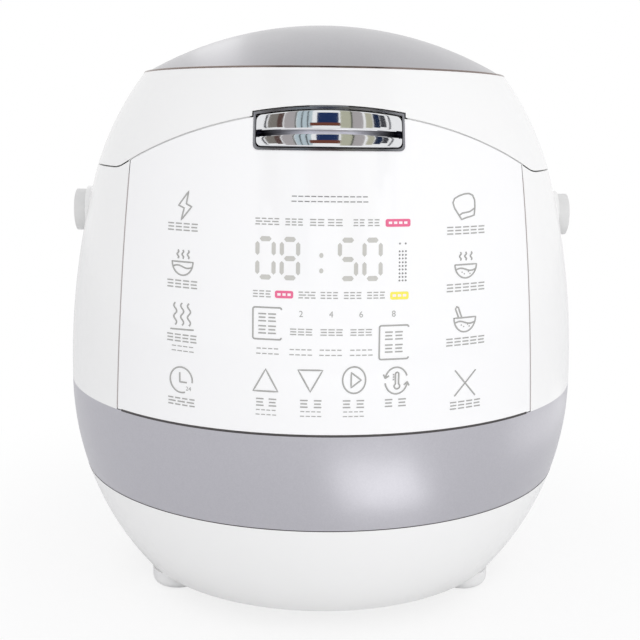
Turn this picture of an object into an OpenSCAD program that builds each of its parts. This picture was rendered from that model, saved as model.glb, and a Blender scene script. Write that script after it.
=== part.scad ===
// Round rice cooker: a wide-bellied body of revolution, a hinged lid with a domed cap,
// a wrap-round touch panel, an induction-heated pot and a folding carry handle.
// Millimetres. The front faces -Y. The floor is z = 0.

/* [Body outline] */
// Greatest radius of the body
body_r = 128; // [120:0.5:136]
// Height of the greatest radius above the floor
widest_z = 100; // [94:0.5:104]
// Radius of the outline's arc below the widest level
belly_arc = 145; // [138:1:155]
// Radius of the outline's arc above the widest level
side_arc = 380; // [340:5:430]
// Height where the shoulder arc starts
shoulder_z = 202; // [199:0.5:204]
// Radius of the shoulder arc
shoulder_arc = 141; // [136:1:146]
// Wall of the outer mouldings
wall = 2.5; // [2.2:0.1:2.8]
// Height of the underside of the base above the floor
base_z = 9; // [8:0.5:10]
// Lower edge of the silver band
band_low_z = 58.3; // [56:0.1:61]
// Upper edge of the silver band
band_top_z = 102; // [100:0.1:104]

/* [Lid] */
// Height of the seam between lid and body at the sides
seam_z = 207; // [206:0.1:208]
// Radius of the seam's arch over the front, seen from the front
seam_arc = 183; // [178:0.5:190]
// Height of the seam's arch above the side seam
seam_rise = 25.7; // [24:0.1:27]
// Radius that blends the arch into the level seam
seam_blend = 12; // [10:0.5:14]
// Gap between lid and body
seam_gap = 0.6; // [0.5:0.05:0.8]
// Height of the edge of the domed cap
dome_edge_z = 250.8; // [249:0.1:252]
// Height of the top of the domed cap
dome_top_z = 275; // [273:0.5:278]
// Sheet thickness of the domed cap
dome_sheet = 1.6; // [1.3:0.1:2]

/* [Pot] */
// Distance from the body's axis back to the pot's axis
pot_back = 10; // [9:0.5:10.5]
// Distance from the pot's rim flange out to the body's greatest radius
rim_margin = 37; // [36.5:0.5:38]
// Width of the pot's rim flange
flange_w = 5; // [4.5:0.5:6]
// Thickness of the pot
pot_wall = 1.6; // [1.2:0.1:2]
// Height of the underside of the pot
pot_z = 46; // [45:0.5:48]
// Outer radius of the rounded corner of the pot
pot_corner = 30; // [25:1:34]

/* [Control panel] */
// Half width of the panel at its lower edge
panel_half_low = 92; // [88:0.5:94]
// Half width of the panel at the side seam's height
panel_half_top = 87; // [85:0.5:89]
// Thickness of the panel's lens
lens_t = 2.4; // [2:0.1:2.6]
// Gap round the lens
lens_gap = 0.4; // [0.3:0.05:0.5]

/* [Latch] */
// Half width of the latch button
latch_half = 30; // [27:0.5:32]
// Lower edge of the latch button
latch_low_z = 218.2; // [217:0.1:219]
// Height of the button's crease
latch_crease_z = 225.2; // [224.5:0.1:226]
// Upper edge of the button at its centre
latch_top_z = 233.4; // [232.8:0.1:233.8]
// Clearance round the button
latch_gap = 0.35; // [0.3:0.05:0.45]
// Travel of the button
latch_travel = 2.8; // [2.4:0.1:3]

/* [Carry handle] */
// Height of the handle's pivots
handle_z = 183; // [181:0.5:185]
// Gap between the handle's arms and the body at the pivots
arm_clear = 1.5; // [1.4:0.1:2.2]
// Thickness of the arms
arm_t = 5.2; // [4.8:0.1:5.4]
// Height of the arms' section
arm_h = 15; // [13:0.5:16]
// Straight length of the arms behind the pivots
arm_straight = 32; // [30:0.5:36]
// Radius of the round bosses at the pivots
boss_r = 10.5; // [10:0.1:11.5]
// Radius of the pivot pins
handle_pin_r = 4; // [3.5:0.1:4.5]
// Thickness of the grip
grip_t = 12; // [10:0.5:13]
// Height of the grip's section
grip_h = 20; // [18:0.5:22]
// Angle that the grip spans
grip_angle = 64; // [50:2:80]

/* [Hinge] */
// Distance of the hinge's axis in from the body's greatest radius
hinge_in = 6; // [5:0.5:7]
// Height of the lid hinge
hinge_z = 215; // [214:0.5:216]
// Radius of the hinge pin
hinge_pin_r = 2.5; // [2.2:0.1:2.8]
// Radius of the hinge barrel
barrel_r = 10; // [9:0.5:10.5]
// Half length of the barrel on the lid
barrel_half = 34; // [32:0.5:38]
// Thickness of the cheeks beside the barrel
cheek_t = 7; // [6:0.5:8]

/* [Feet] */
// Distance of the feet from the middle plane
foot_x = 71; // [68:0.5:73]
// Distance of the front feet ahead of the body's axis
foot_front = 45; // [43:1:48]
// Distance of the rear feet behind the body's axis
foot_back = 52; // [48:1:54]
// Radius of a foot
foot_r = 13; // [12:0.5:14]
// Rounding of a foot's lower edge
foot_round = 4; // [3:0.5:5]

/* [Steam valve] */
// Distance of the valve behind the body's axis
valve_y = 53; // [51:0.5:55]
// Radius of the valve's cap
valve_cap_r = 23; // [22:0.5:24]
// Outer radius of the steam duct
duct_r = 20; // [19:0.5:21]

/* [Heating] */
// Free height of the sensor's travel below the pot
sensor_travel = 3; // [2.5:0.5:3.5]
// Radius of the temperature sensor
sensor_r = 13; // [12:0.5:14]
// Number of turns in the flat part of the coil
coil_turns = 11; // [9:1:12]
// Number of ferrite bars
ferrite_count = 6; // [4:1:8]
// Number of fan blades
fan_blades = 7; // [5:1:9]

/* [Hidden] */
$fn = 96;
REVOLVE_FN = 240;
FAR = 300;
FIT = 0.2;

WHITE = [0.96, 0.96, 0.95];
SILVER = [0.70, 0.70, 0.72];
STEEL = [0.78, 0.79, 0.80];
CHROME = [0.86, 0.87, 0.89];
ALUMINIUM = [0.80, 0.81, 0.82];
PALE_GREY = [0.86, 0.86, 0.86];
RUBBER = [0.30, 0.30, 0.31];
SILICONE = [0.90, 0.90, 0.88];
BAKELITE = [0.16, 0.15, 0.14];
COPPER = [0.72, 0.42, 0.22];
FERRITE = [0.22, 0.22, 0.24];
BOARD_GREEN = [0.10, 0.34, 0.20];
BRASS = [0.78, 0.63, 0.30];

// Centres of the outline's arcs in the half plane of radius and height.
belly_c = [body_r - belly_arc, widest_z];
side_c = [body_r - side_arc, widest_z];
shoulder_tilt = asin((shoulder_z - widest_z) / side_arc);
shoulder_c = side_c + (side_arc - shoulder_arc) * [cos(shoulder_tilt), sin(shoulder_tilt)];

// Radius of the body's outline at height z, inset by t along its normal.
function outline_r(z, t = 0) =
    z < widest_z ? belly_c.x + sqrt(pow(belly_arc - t, 2) - pow(z - widest_z, 2))
    : z < shoulder_z - t * sin(shoulder_tilt)
        ? side_c.x + sqrt(pow(side_arc - t, 2) - pow(z - widest_z, 2))
    : shoulder_c.x + sqrt(pow(shoulder_arc - t, 2) - pow(z - shoulder_c.y, 2));

// The handle reaches furthest back, so the footprint's centre lies behind the body's axis.
handle_out = outline_r(handle_z) + arm_clear + arm_t;
handle_bend_r = handle_out;
handle_reach = arm_straight + handle_bend_r - arm_t / 2 + grip_t / 2;
origin_y = (handle_reach - body_r) / 2;

// Front view of the seam's arch.
seam_c_z = seam_z + seam_rise - seam_arc;

// Spherical cap of the lid.
dome_edge_r = outline_r(dome_edge_z) - 0.8;
dome_rise = dome_top_z - dome_edge_z;
dome_arc = (pow(dome_edge_r, 2) + pow(dome_rise, 2)) / (2 * dome_rise);
dome_c_z = dome_top_z - dome_arc;

// Levels of the floor plates and the pot's seat.
floor_t = 2.5;
floor_top = base_z + floor_t;
rim_top = seam_z;
flange_t = 1.4;
flange_z = rim_top - flange_t - 0.2;
pot_flange_r = body_r - rim_margin;
pot_r = pot_flange_r - flange_w;
pot_hole_r = pot_r + 1.5;
tongue_r = pot_flange_r + 3.6;
tongue_wall = 1.6;

// Stack of the lid, upwards from the pot's rim.
liner_z = seam_z + seam_gap;
liner_t = 2;
seal_z = flange_z + flange_t + 0.1;
lid_plate_z = seal_z + 4.2;
lid_plate_t = 1.2;
lid_plate_r = pot_r - 1;
recess_r = pot_flange_r + 1;
recess_z = lid_plate_z + lid_plate_t + 1.3;

// Latch. The bar of the slider stands just behind the nose of the lid's striker.
bezel_t = 0.9;
bezel_half = latch_half + latch_gap + bezel_t;
bezel_rise = latch_top_z + latch_gap + bezel_t - (seam_z + seam_rise);
bezel_low_z = latch_low_z - latch_gap - bezel_t;
bezel_depth = 3.2;
button_depth = 2.4;
slider_z = latch_crease_z - 1.2;
slider_t = 2.4;
tongue_back_y = -(tongue_r + tongue_wall - pot_back);
slider_back_y = tongue_back_y - latch_travel - 0.4;
bar_t = 2.2;
nose_reach = 0.9;
nose_clear = 0.6;
striker_t = 1.6;
striker_half = 8;
striker_back_y = slider_back_y - bar_t - nose_clear - nose_reach;
latch_room_y = tongue_back_y - 1.4;
hood_t = 2;

// ---------------------------------------------------------------- outline helpers

// The part of a disc between two heights, on the outer side of the axis.
module disc_slice(centre, r, z0, z1, fn = REVOLVE_FN) {
    intersection() {
        translate(centre) circle(r = r, $fn = fn);
        translate([0, z0]) square([FAR, z1 - z0]);
    }
}

// Half section of the whole body, inset by t: three arcs that meet in tangents at level cuts.
module outline_2d(t = 0) {
    shoulder_start = shoulder_z - t * sin(shoulder_tilt);
    disc_slice(belly_c, belly_arc - t, 0, widest_z);
    disc_slice(side_c, side_arc - t, widest_z, shoulder_start, 2 * REVOLVE_FN);
    disc_slice(shoulder_c, shoulder_arc - t, shoulder_start, FAR);
}

// The part of the half section between two heights.
module level_2d(z0, z1) {
    translate([0, z0]) square([FAR, z1 - z0]);
}

// Solid of revolution inside the outline, inset by t.
module body_core(t, z0, z1) {
    rotate_extrude($fn = REVOLVE_FN) intersection() {
        outline_2d(t);
        level_2d(z0, z1);
    }
}

// Skin of revolution between two insets.
module body_skin(t0, t1, z0, z1) {
    rotate_extrude($fn = REVOLVE_FN) difference() {
        intersection() {
            outline_2d(t0);
            level_2d(z0, z1);
        }
        outline_2d(t1);
    }
}

// A front view drawn in x and z, pushed through from y0 to y1.
module front_prism(y0, y1) {
    translate([0, y1, 0]) rotate([90, 0, 0]) linear_extrude(y1 - y0) children();
}

// A tube or ring about the pot's axis.
module pot_ring(r0, r1, z0, z1) {
    translate([0, pot_back, z0]) difference() {
        cylinder(r = r1, h = z1 - z0);
        translate([0, 0, -1]) cylinder(r = r0, h = z1 - z0 + 2);
    }
}

module on_both_sides() {
    children();
    mirror([1, 0, 0]) children();
}

// Front view of everything that belongs to the body: level at the sides, arched over the front,
// with a block round the latch. It grows by g.
module below_seam_2d(g = 0) {
    blend_c = [sqrt(pow(seam_arc + seam_blend, 2) - pow(seam_z + seam_blend - seam_c_z, 2)), seam_z + seam_blend];
    toward = (blend_c - [0, seam_c_z]) / (seam_arc + seam_blend);
    touch = [0, seam_c_z] + (seam_arc + g) * toward;
    translate([-FAR, 0]) square([2 * FAR, seam_z + g]);
    intersection() {
        translate([0, seam_c_z]) circle(r = seam_arc + g, $fn = REVOLVE_FN);
        translate([-FAR, seam_z - 5]) square([2 * FAR, 60]);
    }
    for (side = [-1, 1]) scale([side, 1]) difference() {
        polygon([touch, [blend_c.x, seam_z + g], [blend_c.x, seam_z - 3], [touch.x - 3, seam_z - 3]]);
        translate(blend_c) circle(r = seam_blend - g);
    }
    intersection() {
        translate([0, seam_c_z]) circle(r = seam_arc + bezel_rise + g, $fn = REVOLVE_FN);
        translate([-bezel_half - g, seam_z]) square([2 * (bezel_half + g), 60]);
    }
}

// Front view of the lens, grown by g.
module panel_2d(g = 0) {
    slope = (panel_half_low - panel_half_top) / (seam_z - band_top_z);
    high = 2 * seam_rise;
    low = panel_half_low + g;
    top = panel_half_top - slope * high + g;
    polygon([[-low, band_top_z], [low, band_top_z], [top, seam_z + high], [-top, seam_z + high]]);
}

// Front view of the latch button, grown by g.
module latch_2d(g = 0) {
    corner = 2;
    intersection() {
        translate([0, seam_c_z]) circle(r = latch_top_z - seam_c_z + g, $fn = REVOLVE_FN);
        union() {
            translate([-latch_half - g, latch_low_z - g + corner]) square([2 * (latch_half + g), 30]);
            translate([-latch_half - g + corner, latch_low_z - g]) square([2 * (latch_half + g - corner), 30]);
            for (side = [-1, 1]) translate([side * (latch_half + g - corner), latch_low_z - g + corner])
                circle(r = corner);
        }
    }
}

// Round-cornered rectangle, w by h with corner radius r, centred.
module soft_rect(w, h, r) {
    square([w - 2 * r, h], center = true);
    square([w, h - 2 * r], center = true);
    for (x = [-1, 1], y = [-1, 1]) translate([x * (w / 2 - r), y * (h / 2 - r)]) circle(r = r, $fn = 48);
}

// Wire wound into a helix about Z, from z = 0 up.
module helix_wire(coil_r, wire_r, pitch, turns, sides = 6, steps = 14) {
    last = floor(turns * steps);
    points = [for (i = [0:last]) let (a = 360 * i / steps) for (j = [0:sides - 1]) let (b = 360 * j / sides)
        [(coil_r + wire_r * cos(b)) * cos(a), (coil_r + wire_r * cos(b)) * sin(a),
            pitch * i / steps + wire_r * sin(b)]];
    sides_of = [for (i = [0:last - 1], j = [0:sides - 1]) let (k = (j + 1) % sides)
        [i * sides + j, (i + 1) * sides + j, (i + 1) * sides + k, i * sides + k]];
    polyhedron(points, concat(sides_of,
        [[for (j = [0:sides - 1]) j]], [[for (j = [sides - 1:-1:0]) last * sides + j]]));
}

// ---------------------------------------------------------------- base

inlet_z = 35;
inlet_face_y = body_r - 11;
inlet_half_w = 21;
inlet_half_h = 15;
inlet_back_y = inlet_face_y - 20;
ledge_h = 4;
upstand_in = wall + FIT;
fan_pos = [0, 60];
grille_r = 30;

// Where the base's screws go: beside each foot, towards the middle.
screw_spots = [for (x = [-1, 1]) for (y = [-foot_front - 18, foot_back + 16]) [x * (foot_x - 19), y]];
spigot_r = 6.5;

module foot_spots() {
    for (x = [-foot_x, foot_x], y = [-foot_front, foot_back]) translate([x, y, 0]) children();
}

module base_shell() {
    color(WHITE) difference() {
        union() {
            rotate_extrude($fn = REVOLVE_FN) difference() {
                intersection() {
                    outline_2d(0);
                    level_2d(base_z, band_low_z);
                }
                intersection() {
                    outline_2d(wall);
                    level_2d(floor_top, band_low_z - ledge_h);
                }
                intersection() {
                    outline_2d(upstand_in + wall);
                    level_2d(band_low_z - ledge_h, FAR);
                }
            }
            body_skin(upstand_in, upstand_in + wall, band_low_z, band_top_z + 6);
            intersection() {
                translate([-inlet_half_w, inlet_back_y, inlet_z - inlet_half_h])
                    cube([2 * inlet_half_w, inlet_face_y - inlet_back_y, 2 * inlet_half_h]);
                translate([-FAR, -FAR, floor_top]) cube([2 * FAR, 2 * FAR, band_low_z - ledge_h - floor_top]);
            }
        }
        // pocket for the mains inlet
        translate([-inlet_half_w + 2, 80, inlet_z - inlet_half_h + 2])
            cube([2 * (inlet_half_w - 2), inlet_face_y - 82, 2 * (inlet_half_h - 2)]);
        translate([-14, 80, inlet_z - 10.5]) cube([28, 60, 21]);
        translate([-inlet_half_w, inlet_face_y, inlet_z - inlet_half_h])
            cube([2 * inlet_half_w, 30, 2 * inlet_half_h]);
        // hole for the grille and sockets for the feet
        translate([fan_pos.x, fan_pos.y, 0]) cylinder(r = grille_r + FIT, h = floor_top + 1);
        foot_spots() cylinder(r = spigot_r + FIT, h = floor_top + 1);
        for (p = screw_spots) translate([p.x, p.y, 0]) cylinder(r = 1.8, h = floor_top + 1);
    }
}

module vent_grille() {
    slots = 7;
    pitch = 7;
    color(WHITE) translate([fan_pos.x, fan_pos.y, base_z]) difference() {
        union() {
            cylinder(r = grille_r, h = floor_t);
            translate([0, 0, floor_t]) cylinder(r = grille_r + 3, h = 1);
        }
        for (i = [0:slots - 1]) let (x = (i - (slots - 1) / 2) * pitch, half = sqrt(pow(grille_r - 4, 2) - x * x))
            translate([x - 1.6, -half, -1]) cube([3.2, 2 * half, 6]);
    }
}

pad_proud = 0.8;

module foot_section_2d() {
    translate([0, pad_proud + foot_round]) square([foot_r, base_z - pad_proud - foot_round]);
    translate([0, pad_proud]) square([foot_r - foot_round, foot_round]);
    intersection() {
        translate([foot_r - foot_round, pad_proud + foot_round]) circle(r = foot_round);
        square([foot_r, pad_proud + foot_round]);
    }
    translate([0, base_z - 1]) square([spigot_r, floor_t + 2.5]);
}

module feet() {
    color(WHITE) foot_spots() difference() {
        rotate_extrude() foot_section_2d();
        translate([0, 0, -1]) cylinder(r = 6, h = 3.3);
    }
}

module foot_pads() {
    color(RUBBER) foot_spots() cylinder(r = 5.8, h = 2.3);
}

module base_screws() {
    color(STEEL) for (p = screw_spots) translate([p.x, p.y, base_z - 1]) {
        cylinder(r = 3.2, h = 1);
        cylinder(r = 1.6, h = 12);
    }
}

// ---------------------------------------------------------------- outer casing

module silver_band() {
    color(SILVER) body_skin(0, wall, band_low_z, band_top_z);
}

pad_r = boss_r + 1.5;
pad_x = handle_out - arm_t - 0.4;

module handle_pad(r, x0, x1) {
    translate([x0, 0, handle_z]) rotate([0, 90, 0]) cylinder(r = r, h = x1 - x0);
}

module side_casing() {
    color(WHITE) difference() {
        union() {
            difference() {
                intersection() {
                    body_skin(0, wall, band_top_z, seam_z + seam_rise + bezel_rise + 1);
                    union() {
                        front_prism(-FAR, 0) below_seam_2d();
                        translate([-FAR, 0, 0]) cube([2 * FAR, FAR, seam_z]);
                    }
                }
                front_prism(-FAR, -20) panel_2d(lens_gap);
            }
            on_both_sides() difference() {
                handle_pad(pad_r, pad_x - 9, pad_x);
                body_core(wall, band_top_z, seam_z);
            }
        }
        on_both_sides() handle_pad(pad_r + 1.2, pad_x, FAR / 2);
        on_both_sides() handle_pad(2.2, 90, FAR / 2);
    }
}

frame_in = wall + FIT;
frame_t = 2;

module panel_frame() {
    color(WHITE) difference() {
        intersection() {
            body_skin(frame_in, frame_in + frame_t, band_top_z + 8, seam_z + seam_rise - 0.3);
            front_prism(-FAR, -20) intersection() {
                panel_2d(3);
                below_seam_2d(-0.3);
            }
        }
        front_prism(-FAR, -20) latch_2d(latch_gap + bezel_t + FIT);
        // window for the display and the touch springs
        front_prism(-FAR, -20) translate([0, 168]) soft_rect(96, 62, 4);
    }
}

// Front view of everything under the seam's arch, down to z0.
module arch_2d(arc, z0) {
    intersection() {
        translate([0, seam_c_z]) circle(r = arc, $fn = REVOLVE_FN);
        translate([-FAR, z0]) square([2 * FAR, FAR]);
    }
}

module control_panel() {
    color(WHITE) intersection() {
        body_skin(0, lens_t, band_top_z + lens_gap, seam_z + seam_rise + 1);
        front_prism(-FAR, -20) difference() {
            intersection() {
                panel_2d(0);
                arch_2d(seam_arc, band_top_z);
            }
            latch_2d(latch_gap + bezel_t + 0.02);
        }
    }
}

// ---------------------------------------------------------------- display behind the lens

board_y = 35 - body_r;
board_half = 52;
board_low_z = 114;
board_high_z = 200;
display_z = 172;

module display_board() {
    color(BOARD_GREEN) difference() {
        translate([-board_half, board_y, board_low_z]) cube([2 * board_half, 1.6, board_high_z - board_low_z]);
        for (x = [-1, 1], z = [board_low_z + 6, board_high_z - 6]) translate([x * (board_half - 5), board_y - 1, z]) rotate([-90, 0, 0])
            cylinder(r = 1.7, h = 4);
    }
}

module display_module() {
    w = 84;
    h = 32;
    depth = 9;
    color(PALE_GREY) translate([-w / 2, board_y - depth, display_z - h / 2]) difference() {
        cube([w, depth, h]);
        // light wells of the four digits and of the colon
        for (x = [8, 26, 49, 67]) translate([x, -1, 5]) cube([12, depth - 1, 22]);
        translate([41.5, -1, 8]) cube([3, depth - 1, 16]);
    }
}

touch_spots = concat([for (x = [-1, 1], z = [128, 145]) [x * 46, z]], [for (x = [-33, -11, 11, 33]) [x, 133]]);

module touch_springs() {
    color(STEEL) for (p = touch_spots) let (reach = sqrt(pow(outline_r(p.y, wall + 3), 2) - p.x * p.x))
        translate([p.x, board_y, p.y]) rotate([90, 0, 0]) difference() {
            cylinder(r = 4, h = reach + board_y - 1);
            translate([0, 0, -1]) cylinder(r = 3.2, h = 60);
        }
}

// ---------------------------------------------------------------- top collar with the latch's tongue

// Everything in front of a cylinder of radius r round the pot, under an arch and above z0.
module tongue_block(r, arc, z0) {
    difference() {
        front_prism(-FAR, -20) arch_2d(arc, z0);
        translate([0, pot_back, 0]) cylinder(r = r, h = FAR);
    }
}

collar_in = frame_in + frame_t + FIT;
collar_t = 3;
collar_r = outline_r(seam_z, wall + FIT);

module top_collar() {
    color(WHITE) difference() {
        union() {
            // plate and skirt, with the front edge clear of the panel's frame
            difference() {
                union() {
                    intersection() {
                        translate([0, 0, rim_top - collar_t]) cylinder(r = collar_r - 0.6, h = collar_t);
                        union() {
                            translate([-FAR, -40, 0]) cube([2 * FAR, FAR, FAR]);
                            body_core(collar_in, seam_z - 20, seam_z + 5);
                        }
                    }
                    pot_ring(pot_hole_r, pot_hole_r + 1.8, rim_top - 20, rim_top - collar_t + 1);
                }
                translate([0, pot_back, flange_z]) cylinder(r = pot_flange_r + 0.6, h = 10);
                translate([0, pot_back, 0]) cylinder(r = pot_hole_r, h = FAR);
                // drip channel round the rim
                translate([0, 0, rim_top - 1.2]) intersection() {
                    pot_ring(pot_flange_r + 2, pot_flange_r + 4.4, 0, 3);
                    translate([-FAR, -20, 0]) cube([2 * FAR, FAR, 5]);
                }
            }
            difference() {
                intersection() {
                    body_core(collar_in, seam_z - collar_t, FAR);
                    tongue_block(tongue_r, seam_arc, seam_z - collar_t);
                }
                tongue_block(tongue_r + tongue_wall, seam_arc - tongue_wall, seam_z - 20);
            }
        }
        // room for the latch and for the lid's striker
        translate([-bezel_half - FIT, -FAR, bezel_low_z - 1])
            cube([2 * (bezel_half + FIT), FAR + tongue_back_y - 0.01, 60]);
    }
    color(WHITE) latch_guides();
}

// Two ribs that carry the slider, with posts for its springs.
module latch_guides() {
    low = rim_top - 1;
    long = 12;
    on_both_sides() {
        translate([striker_half + 2, tongue_back_y - long, low]) cube([3, long + 1, slider_z - 0.05 - low]);
        translate([spring_x - 1.5, tongue_back_y - 2, low]) cube([3, 3, slider_z + slider_t - low]);
    }
}

// ---------------------------------------------------------------- latch

module latch_bezel() {
    color(CHROME) difference() {
        intersection() {
            body_skin(-0.3, bezel_depth, bezel_low_z - 1, latch_top_z + 4);
            front_prism(-FAR, -20) latch_2d(latch_gap + bezel_t);
        }
        front_prism(-FAR, -20) latch_2d(latch_gap);
    }
}

// Half section of the button: two convex facets that meet in a hollow crease.
module facet_2d(z0, z1, proud) {
    r0 = outline_r(z0) + proud;
    r1 = outline_r(z1) + proud;
    middle = [(r0 + r1) / 2, (z0 + z1) / 2];
    along = [r1 - r0, z1 - z0] / norm([r1 - r0, z1 - z0]);
    out = [along.y, -along.x];
    arc = 9;
    half = norm([r1 - r0, z1 - z0]) / 2;
    translate(middle - out * sqrt(arc * arc - half * half)) circle(r = arc);
}

module button_2d() {
    intersection() {
        facet_2d(latch_crease_z, latch_top_z, 0.4);
        translate([50, latch_crease_z]) square([FAR, latch_top_z - latch_crease_z + 1]);
        translate([0, latch_crease_z]) square([FAR, 20]);
    }
    intersection() {
        facet_2d(latch_low_z, latch_crease_z, 0.4);
        translate([0, latch_low_z]) square([FAR, latch_crease_z - latch_low_z]);
    }
}

module latch_button() {
    color(CHROME) intersection() {
        rotate_extrude($fn = REVOLVE_FN) difference() {
            intersection() {
                button_2d();
                level_2d(latch_low_z, latch_top_z + 1);
            }
            outline_2d(button_depth);
        }
        front_prism(-FAR, -20) latch_2d(0);
    }
}

spring_x = 20;
slider_rail = 3;

module latch_slider() {
    // window frame behind the button: its rear bar holds the striker down
    half = striker_half + 1.2;
    front_y = -outline_r(slider_z, button_depth);
    nose_room = striker_back_y - striker_t - latch_travel - 0.3;
    color(STEEL) difference() {
        intersection() {
            union() {
                translate([-half - slider_rail, front_y, slider_z])
                    cube([2 * (half + slider_rail), slider_back_y - front_y, slider_t]);
                // cross piece with the spring cups, behind the button
                translate([-spring_x - 4, front_y, slider_z]) cube([2 * (spring_x + 4), nose_room - front_y, slider_t]);
            }
            body_core(button_depth + 0.02, slider_z - 1, slider_z + slider_t + 1);
        }
        translate([-half, nose_room, slider_z - 1])
            cube([2 * half, slider_back_y - bar_t - nose_room, slider_t + 2]);
    }
}

module latch_springs() {
    coil_r = 2;
    wire = 0.4;
    turns = 5;
    y0 = striker_back_y - striker_t - latch_travel - 0.3 + wire;
    long = tongue_back_y - 2 - wire - y0;
    color(STEEL) on_both_sides() translate([spring_x, y0, slider_z + slider_t / 2]) rotate([-90, 0, 0])
        helix_wire(coil_r, wire, long / turns, turns, 6, 10);
}

// ---------------------------------------------------------------- pot and heating

module pot_2d(inset) {
    r = pot_r - inset;
    c = pot_corner - inset;
    z = pot_z + inset;
    translate([0, z + c]) square([r, FAR]);
    translate([0, z]) square([r - c, c + 1]);
    translate([r - c, z + c]) circle(r = c);
}

module inner_pot() {
    color(STEEL) translate([0, pot_back, 0]) rotate_extrude($fn = REVOLVE_FN) difference() {
        union() {
            intersection() {
                pot_2d(0);
                level_2d(0, flange_z + flange_t);
            }
            translate([0, flange_z]) square([pot_flange_r, flange_t]);
        }
        pot_2d(pot_wall);
    }
}

support_r = pot_flange_r + 3;

module inner_liner() {
    color(ALUMINIUM) pot_ring(pot_hole_r + 2.2, pot_hole_r + 3, pot_z + pot_corner + 3, rim_top - collar_t);
}

module side_heater() {
    r = pot_hole_r + 3;
    color(BRASS) union() {
        pot_ring(r + 0.1, r + 1.3, 128, 162);
        translate([-6, pot_back + r + 0.6, 132]) cube([12, 5, 26]);
    }
}

// Bowl under the pot that carries the coil.
module coil_support() {
    gap = 3;
    color(BAKELITE) translate([0, pot_back, 0]) difference() {
        rotate_extrude() difference() {
            union() {
                intersection() {
                    pot_2d(-gap - 3);
                    level_2d(0, pot_z + pot_corner);
                }
                translate([0, pot_z + pot_corner]) square([support_r, 3]);
            }
            pot_2d(-gap);
        }
        translate([0, 0, 0]) cylinder(r = sensor_r + 2.6, h = pot_z);
        for (a = [45:90:315]) rotate(a) translate([60, 0, 0]) cylinder(r = 2, h = pot_z + 10);
    }
}

module induction_coil() {
    wire = 1.35;
    first = sensor_r + 10;
    top = pot_z - 3 - 3 - wire - 0.1;
    color(COPPER) translate([0, pot_back, top])
        for (i = [0:coil_turns - 1]) rotate_extrude() translate([first + i * (2 * wire + 0.1), 0]) circle(r = wire);
}

module ferrite_bars() {
    high = 4;
    z = pot_z - 3 - 3 - 2.8 - high - 0.3;
    color(FERRITE) translate([0, pot_back, z]) for (i = [0:ferrite_count - 1]) rotate(i * 360 / ferrite_count + 15)
        translate([sensor_r + 9, -5, 0]) cube([34, 10, high]);
}

module sensor_guide() {
    z0 = floor_top + 2;
    color(BAKELITE) translate([0, pot_back, 0]) difference() {
        union() {
            translate([0, 0, z0]) cylinder(r = sensor_r + 2.4, h = pot_z - 8 - z0);
            translate([0, 0, pot_z - 10]) cylinder(r = sensor_r + 2.4, h = 4);
        }
        translate([0, 0, z0 + 2]) cylinder(r = sensor_r + 0.4, h = pot_z);
    }
}

// The sensor's skirt stays in its guide over the whole travel.
module pot_sensor() {
    skirt = 9 + sensor_travel;
    color(ALUMINIUM) translate([0, pot_back, 0]) difference() {
        union() {
            translate([0, 0, pot_z - 1.5]) cylinder(r1 = sensor_r, r2 = sensor_r - 1.5, h = 1.5);
            translate([0, 0, pot_z - skirt]) cylinder(r = sensor_r, h = skirt - 1.5);
        }
        translate([0, 0, pot_z - skirt - 1]) cylinder(r = sensor_r - 1.2, h = skirt - 2);
    }
}

module sensor_spring() {
    z0 = floor_top + 4;
    turns = 6;
    wire = 0.7;
    high = pot_z - 3 - z0;
    color(STEEL) translate([0, pot_back, z0 + wire])
        helix_wire(8, wire, (high - 2 * wire) / turns, turns, 5, 12);
}

// ---------------------------------------------------------------- electronics in the base

power_z = floor_top + 4;

module power_board() {
    color(BOARD_GREEN) union() {
        translate([-46, -74, power_z]) cube([92, 46, 1.6]);
        for (x = [-40, 40], y = [-68, -34]) translate([x, y, floor_top]) cylinder(r = 3, h = 4);
    }
}

module heat_sink() {
    fins = 9;
    color(ALUMINIUM) translate([10, -70, power_z + 1.6]) {
        cube([32, 24, 3]);
        for (i = [0:fins - 1]) translate([i * 3.8, 0, 3]) cube([1.6, 24, 9]);
    }
}

module board_parts() {
    color(BRASS) {
        translate([-40, -68, power_z + 1.6]) cube([22, 9, 13]);
        translate([-40, -54, power_z + 1.6]) cube([18, 8, 10]);
        translate([-8, -60, power_z + 1.6]) cylinder(r = 7, h = 14);
        translate([-30, -38, power_z + 1.6]) cylinder(r = 6, h = 9);
    }
}

fan_z = floor_top + 1;
fan_h = 12;
fan_side = 60;

module fan_frame() {
    bore = fan_side / 2 - 1.5;
    color(BAKELITE) translate([fan_pos.x, fan_pos.y, fan_z]) difference() {
        union() {
            difference() {
                translate([-fan_side / 2, -fan_side / 2, 0]) cube([fan_side, fan_side, fan_h]);
                translate([0, 0, -1]) cylinder(r = bore, h = fan_h + 2);
            }
            cylinder(r = 12, h = 1.5);
            for (a = [45:90:315]) rotate(a) translate([10, -1.5, 0]) cube([bore - 9, 3, 1.5]);
        }
        for (x = [-1, 1], y = [-1, 1]) translate([x * 25, y * 25, -1]) cylinder(r = 2, h = fan_h + 2);
        translate([0, 0, -1]) cylinder(r = 1.55, h = 5);
    }
}

module fan_rotor() {
    tip = fan_side / 2 - 2.5;
    color(BAKELITE) translate([fan_pos.x, fan_pos.y, fan_z]) union() {
        translate([0, 0, 2.2]) cylinder(r = 13, h = fan_h - 3.2);
        cylinder(r = 1.5, h = 3);
        intersection() {
            for (i = [0:fan_blades - 1]) rotate(i * 360 / fan_blades) translate([0, 0, 6.6]) rotate([38, 0, 0])
                translate([11, -6, -0.6]) cube([tip, 12, 1.2]);
            translate([0, 0, 2.2]) cylinder(r = tip, h = fan_h - 3.2);
        }
    }
}

// ---------------------------------------------------------------- mains inlet

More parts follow.
